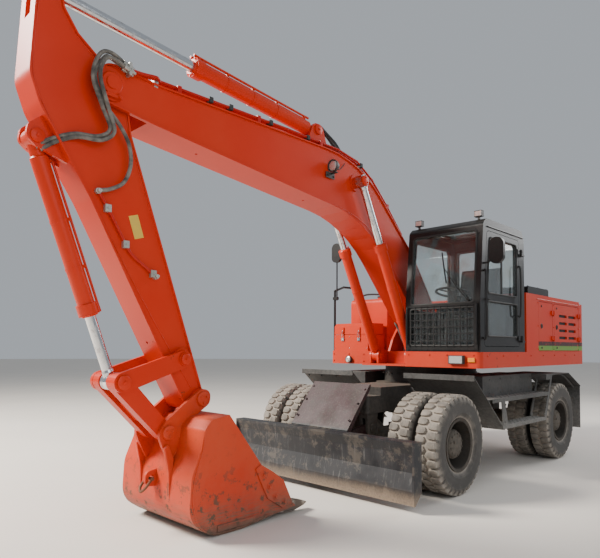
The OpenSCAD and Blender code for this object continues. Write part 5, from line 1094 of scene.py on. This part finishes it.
steel_tone = look.mixed(look.noise(18.0, 5.0), (0.085, 0.052, 0.036), (0.24, 0.165, 0.12))
look.surfaced(Base_Color=look.mixed(rubbed, look.colour, steel_tone))
clad(bucket_steel, "bucket")
tooth_steel = look = Look("tooth_steel")
polish = look.noise(9.0, 4.0)
look.surfaced(Base_Color=look.mixed(look.ramp(polish, 0.4, 0.65), (0.16, 0.13, 0.11), (0.42, 0.39, 0.36)),
              Metallic=0.75, Roughness=look.ramp(polish, 0.35, 0.7, 0.55, 0.32))
# Cast adapters over the lip, and wedge teeth with their locking pins
ADAPTER = ((3.30, 0.034), (3.12, 0.026), (3.10, 0.060), (3.10, 0.105), (3.14, 0.134), (3.34, 0.142))
TOOTH = ((3.13, 0.018), (2.985, 0.048), (2.952, 0.064), (2.956, 0.074), (3.00, 0.092), (3.13, 0.128))
teeth = Metalwork()
for k in range(5):
    y = BOOM_Y - 0.45 + k * 0.225
    teeth.sheet(ADAPTER, y - 0.042, y + 0.042, 0.006)
    teeth.sheet(TOOTH, y - 0.037, y + 0.037, 0.006)
    for side, out in SIDES:
        teeth.cap((3.115, y + side * 0.036, 0.078), out, 0.014, 0.010, high=0.006, rise=0.002, sides=12)
teeth.make("bucket_teeth", "bucket", tooth_steel, "bucket_steel")
SIDE_WELD = ((4.10, 0.905), (4.145, 0.84), (4.165, 0.70), (4.235, 0.50), (4.255, 0.30), (4.20, 0.13), (4.05, 0.03),
             (3.75, 0.026), (3.45, 0.066))
RIB = ((4.245, 0.60), (4.262, 0.47), (4.262, 0.27), (4.283, 0.25), (4.292, 0.50), (4.330, 0.69), (4.30, 0.72))
bucket = Metalwork()
for side, out in SIDES:
    # Washers and bolts of the side cutter, the side's weld bead and the wear strip along the heel
    face, y = BOOM_Y + side * 0.5235, BOOM_Y + side * 0.512
    for x, z in ((3.53, 0.410), (3.46, 0.300), (3.39, 0.200), (3.28, 0.140)):
        bucket.cap((x, face, z), out, 0.030, 0.027, high=0.004, rise=0.002, sides=20, bolt=0.016)
    bucket.tube(across_at(y, *SIDE_WELD), 0.006, 6, 5)
    bucket.block((3.62, y, 0.035), (4.02, y + side * 0.010, 0.085))
    # Caps of the pins to the arm and to the link
    for x, z, r, off in ((3.94, 1.06, 0.060, 0.202), (4.28, 0.81, 0.056, 0.210)):
        bucket.cap((x, BOOM_Y + side * off, z), out, r, r * 0.88, -0.002, 0.010, bolt=0.010,
                   ring=(r * 0.55, 3, 0.25))
    # Weld bead below the ear, and the stiffening rib that carries the ear on down the wrapper's back
    bucket.tube(across_at(BOOM_Y + side * 0.198, (4.08, 0.90), (4.16, 0.72), (4.262, 0.57)), 0.006, 6, 3)
    bucket.sheet(RIB, BOOM_Y + side * 0.200, BOOM_Y + side * 0.231)
bucket.make("bucket_fittings", "bucket", bucket_steel, "bucket_steel")
# The lifting eye's shackle and its pin
shackle = Metalwork()
half = ((4.322, 0.032, 0.42), (4.345, 0.040, 0.40), (4.385, 0.038, 0.355))
shackle.tube([*((x, BOOM_Y - off, z) for x, off, z in half), (4.405, BOOM_Y, 0.325),
              *((x, BOOM_Y + off, z) for x, off, z in reversed(half))], 0.011, 12, 6)
shackle.turned((4.32, BOOM_Y - 0.050, 0.42), LEFT, ((0, 0.0115), (0.0015, 0.013), (0.0985, 0.013), (0.1, 0.0115)), 12)
rusty = two_tone("rusty_steel", (0.10, 0.035, 0.016), (0.22, 0.10, 0.05), 30.0, 5.0, Roughness=0.85)
shackle.make("bucket_shackle", "bucket", rusty, "bucket_steel")
idlers = Metalwork()
x, z = BUCKET_EYE
for side, out in SIDES:
    idlers.cap((x, BOOM_Y + side * 0.210, z), out, 0.056, 0.048, -0.012, 0.004, bolt=0.012)
idlers.make("link_fittings", "idlers", boom_paint, "orange_paint")
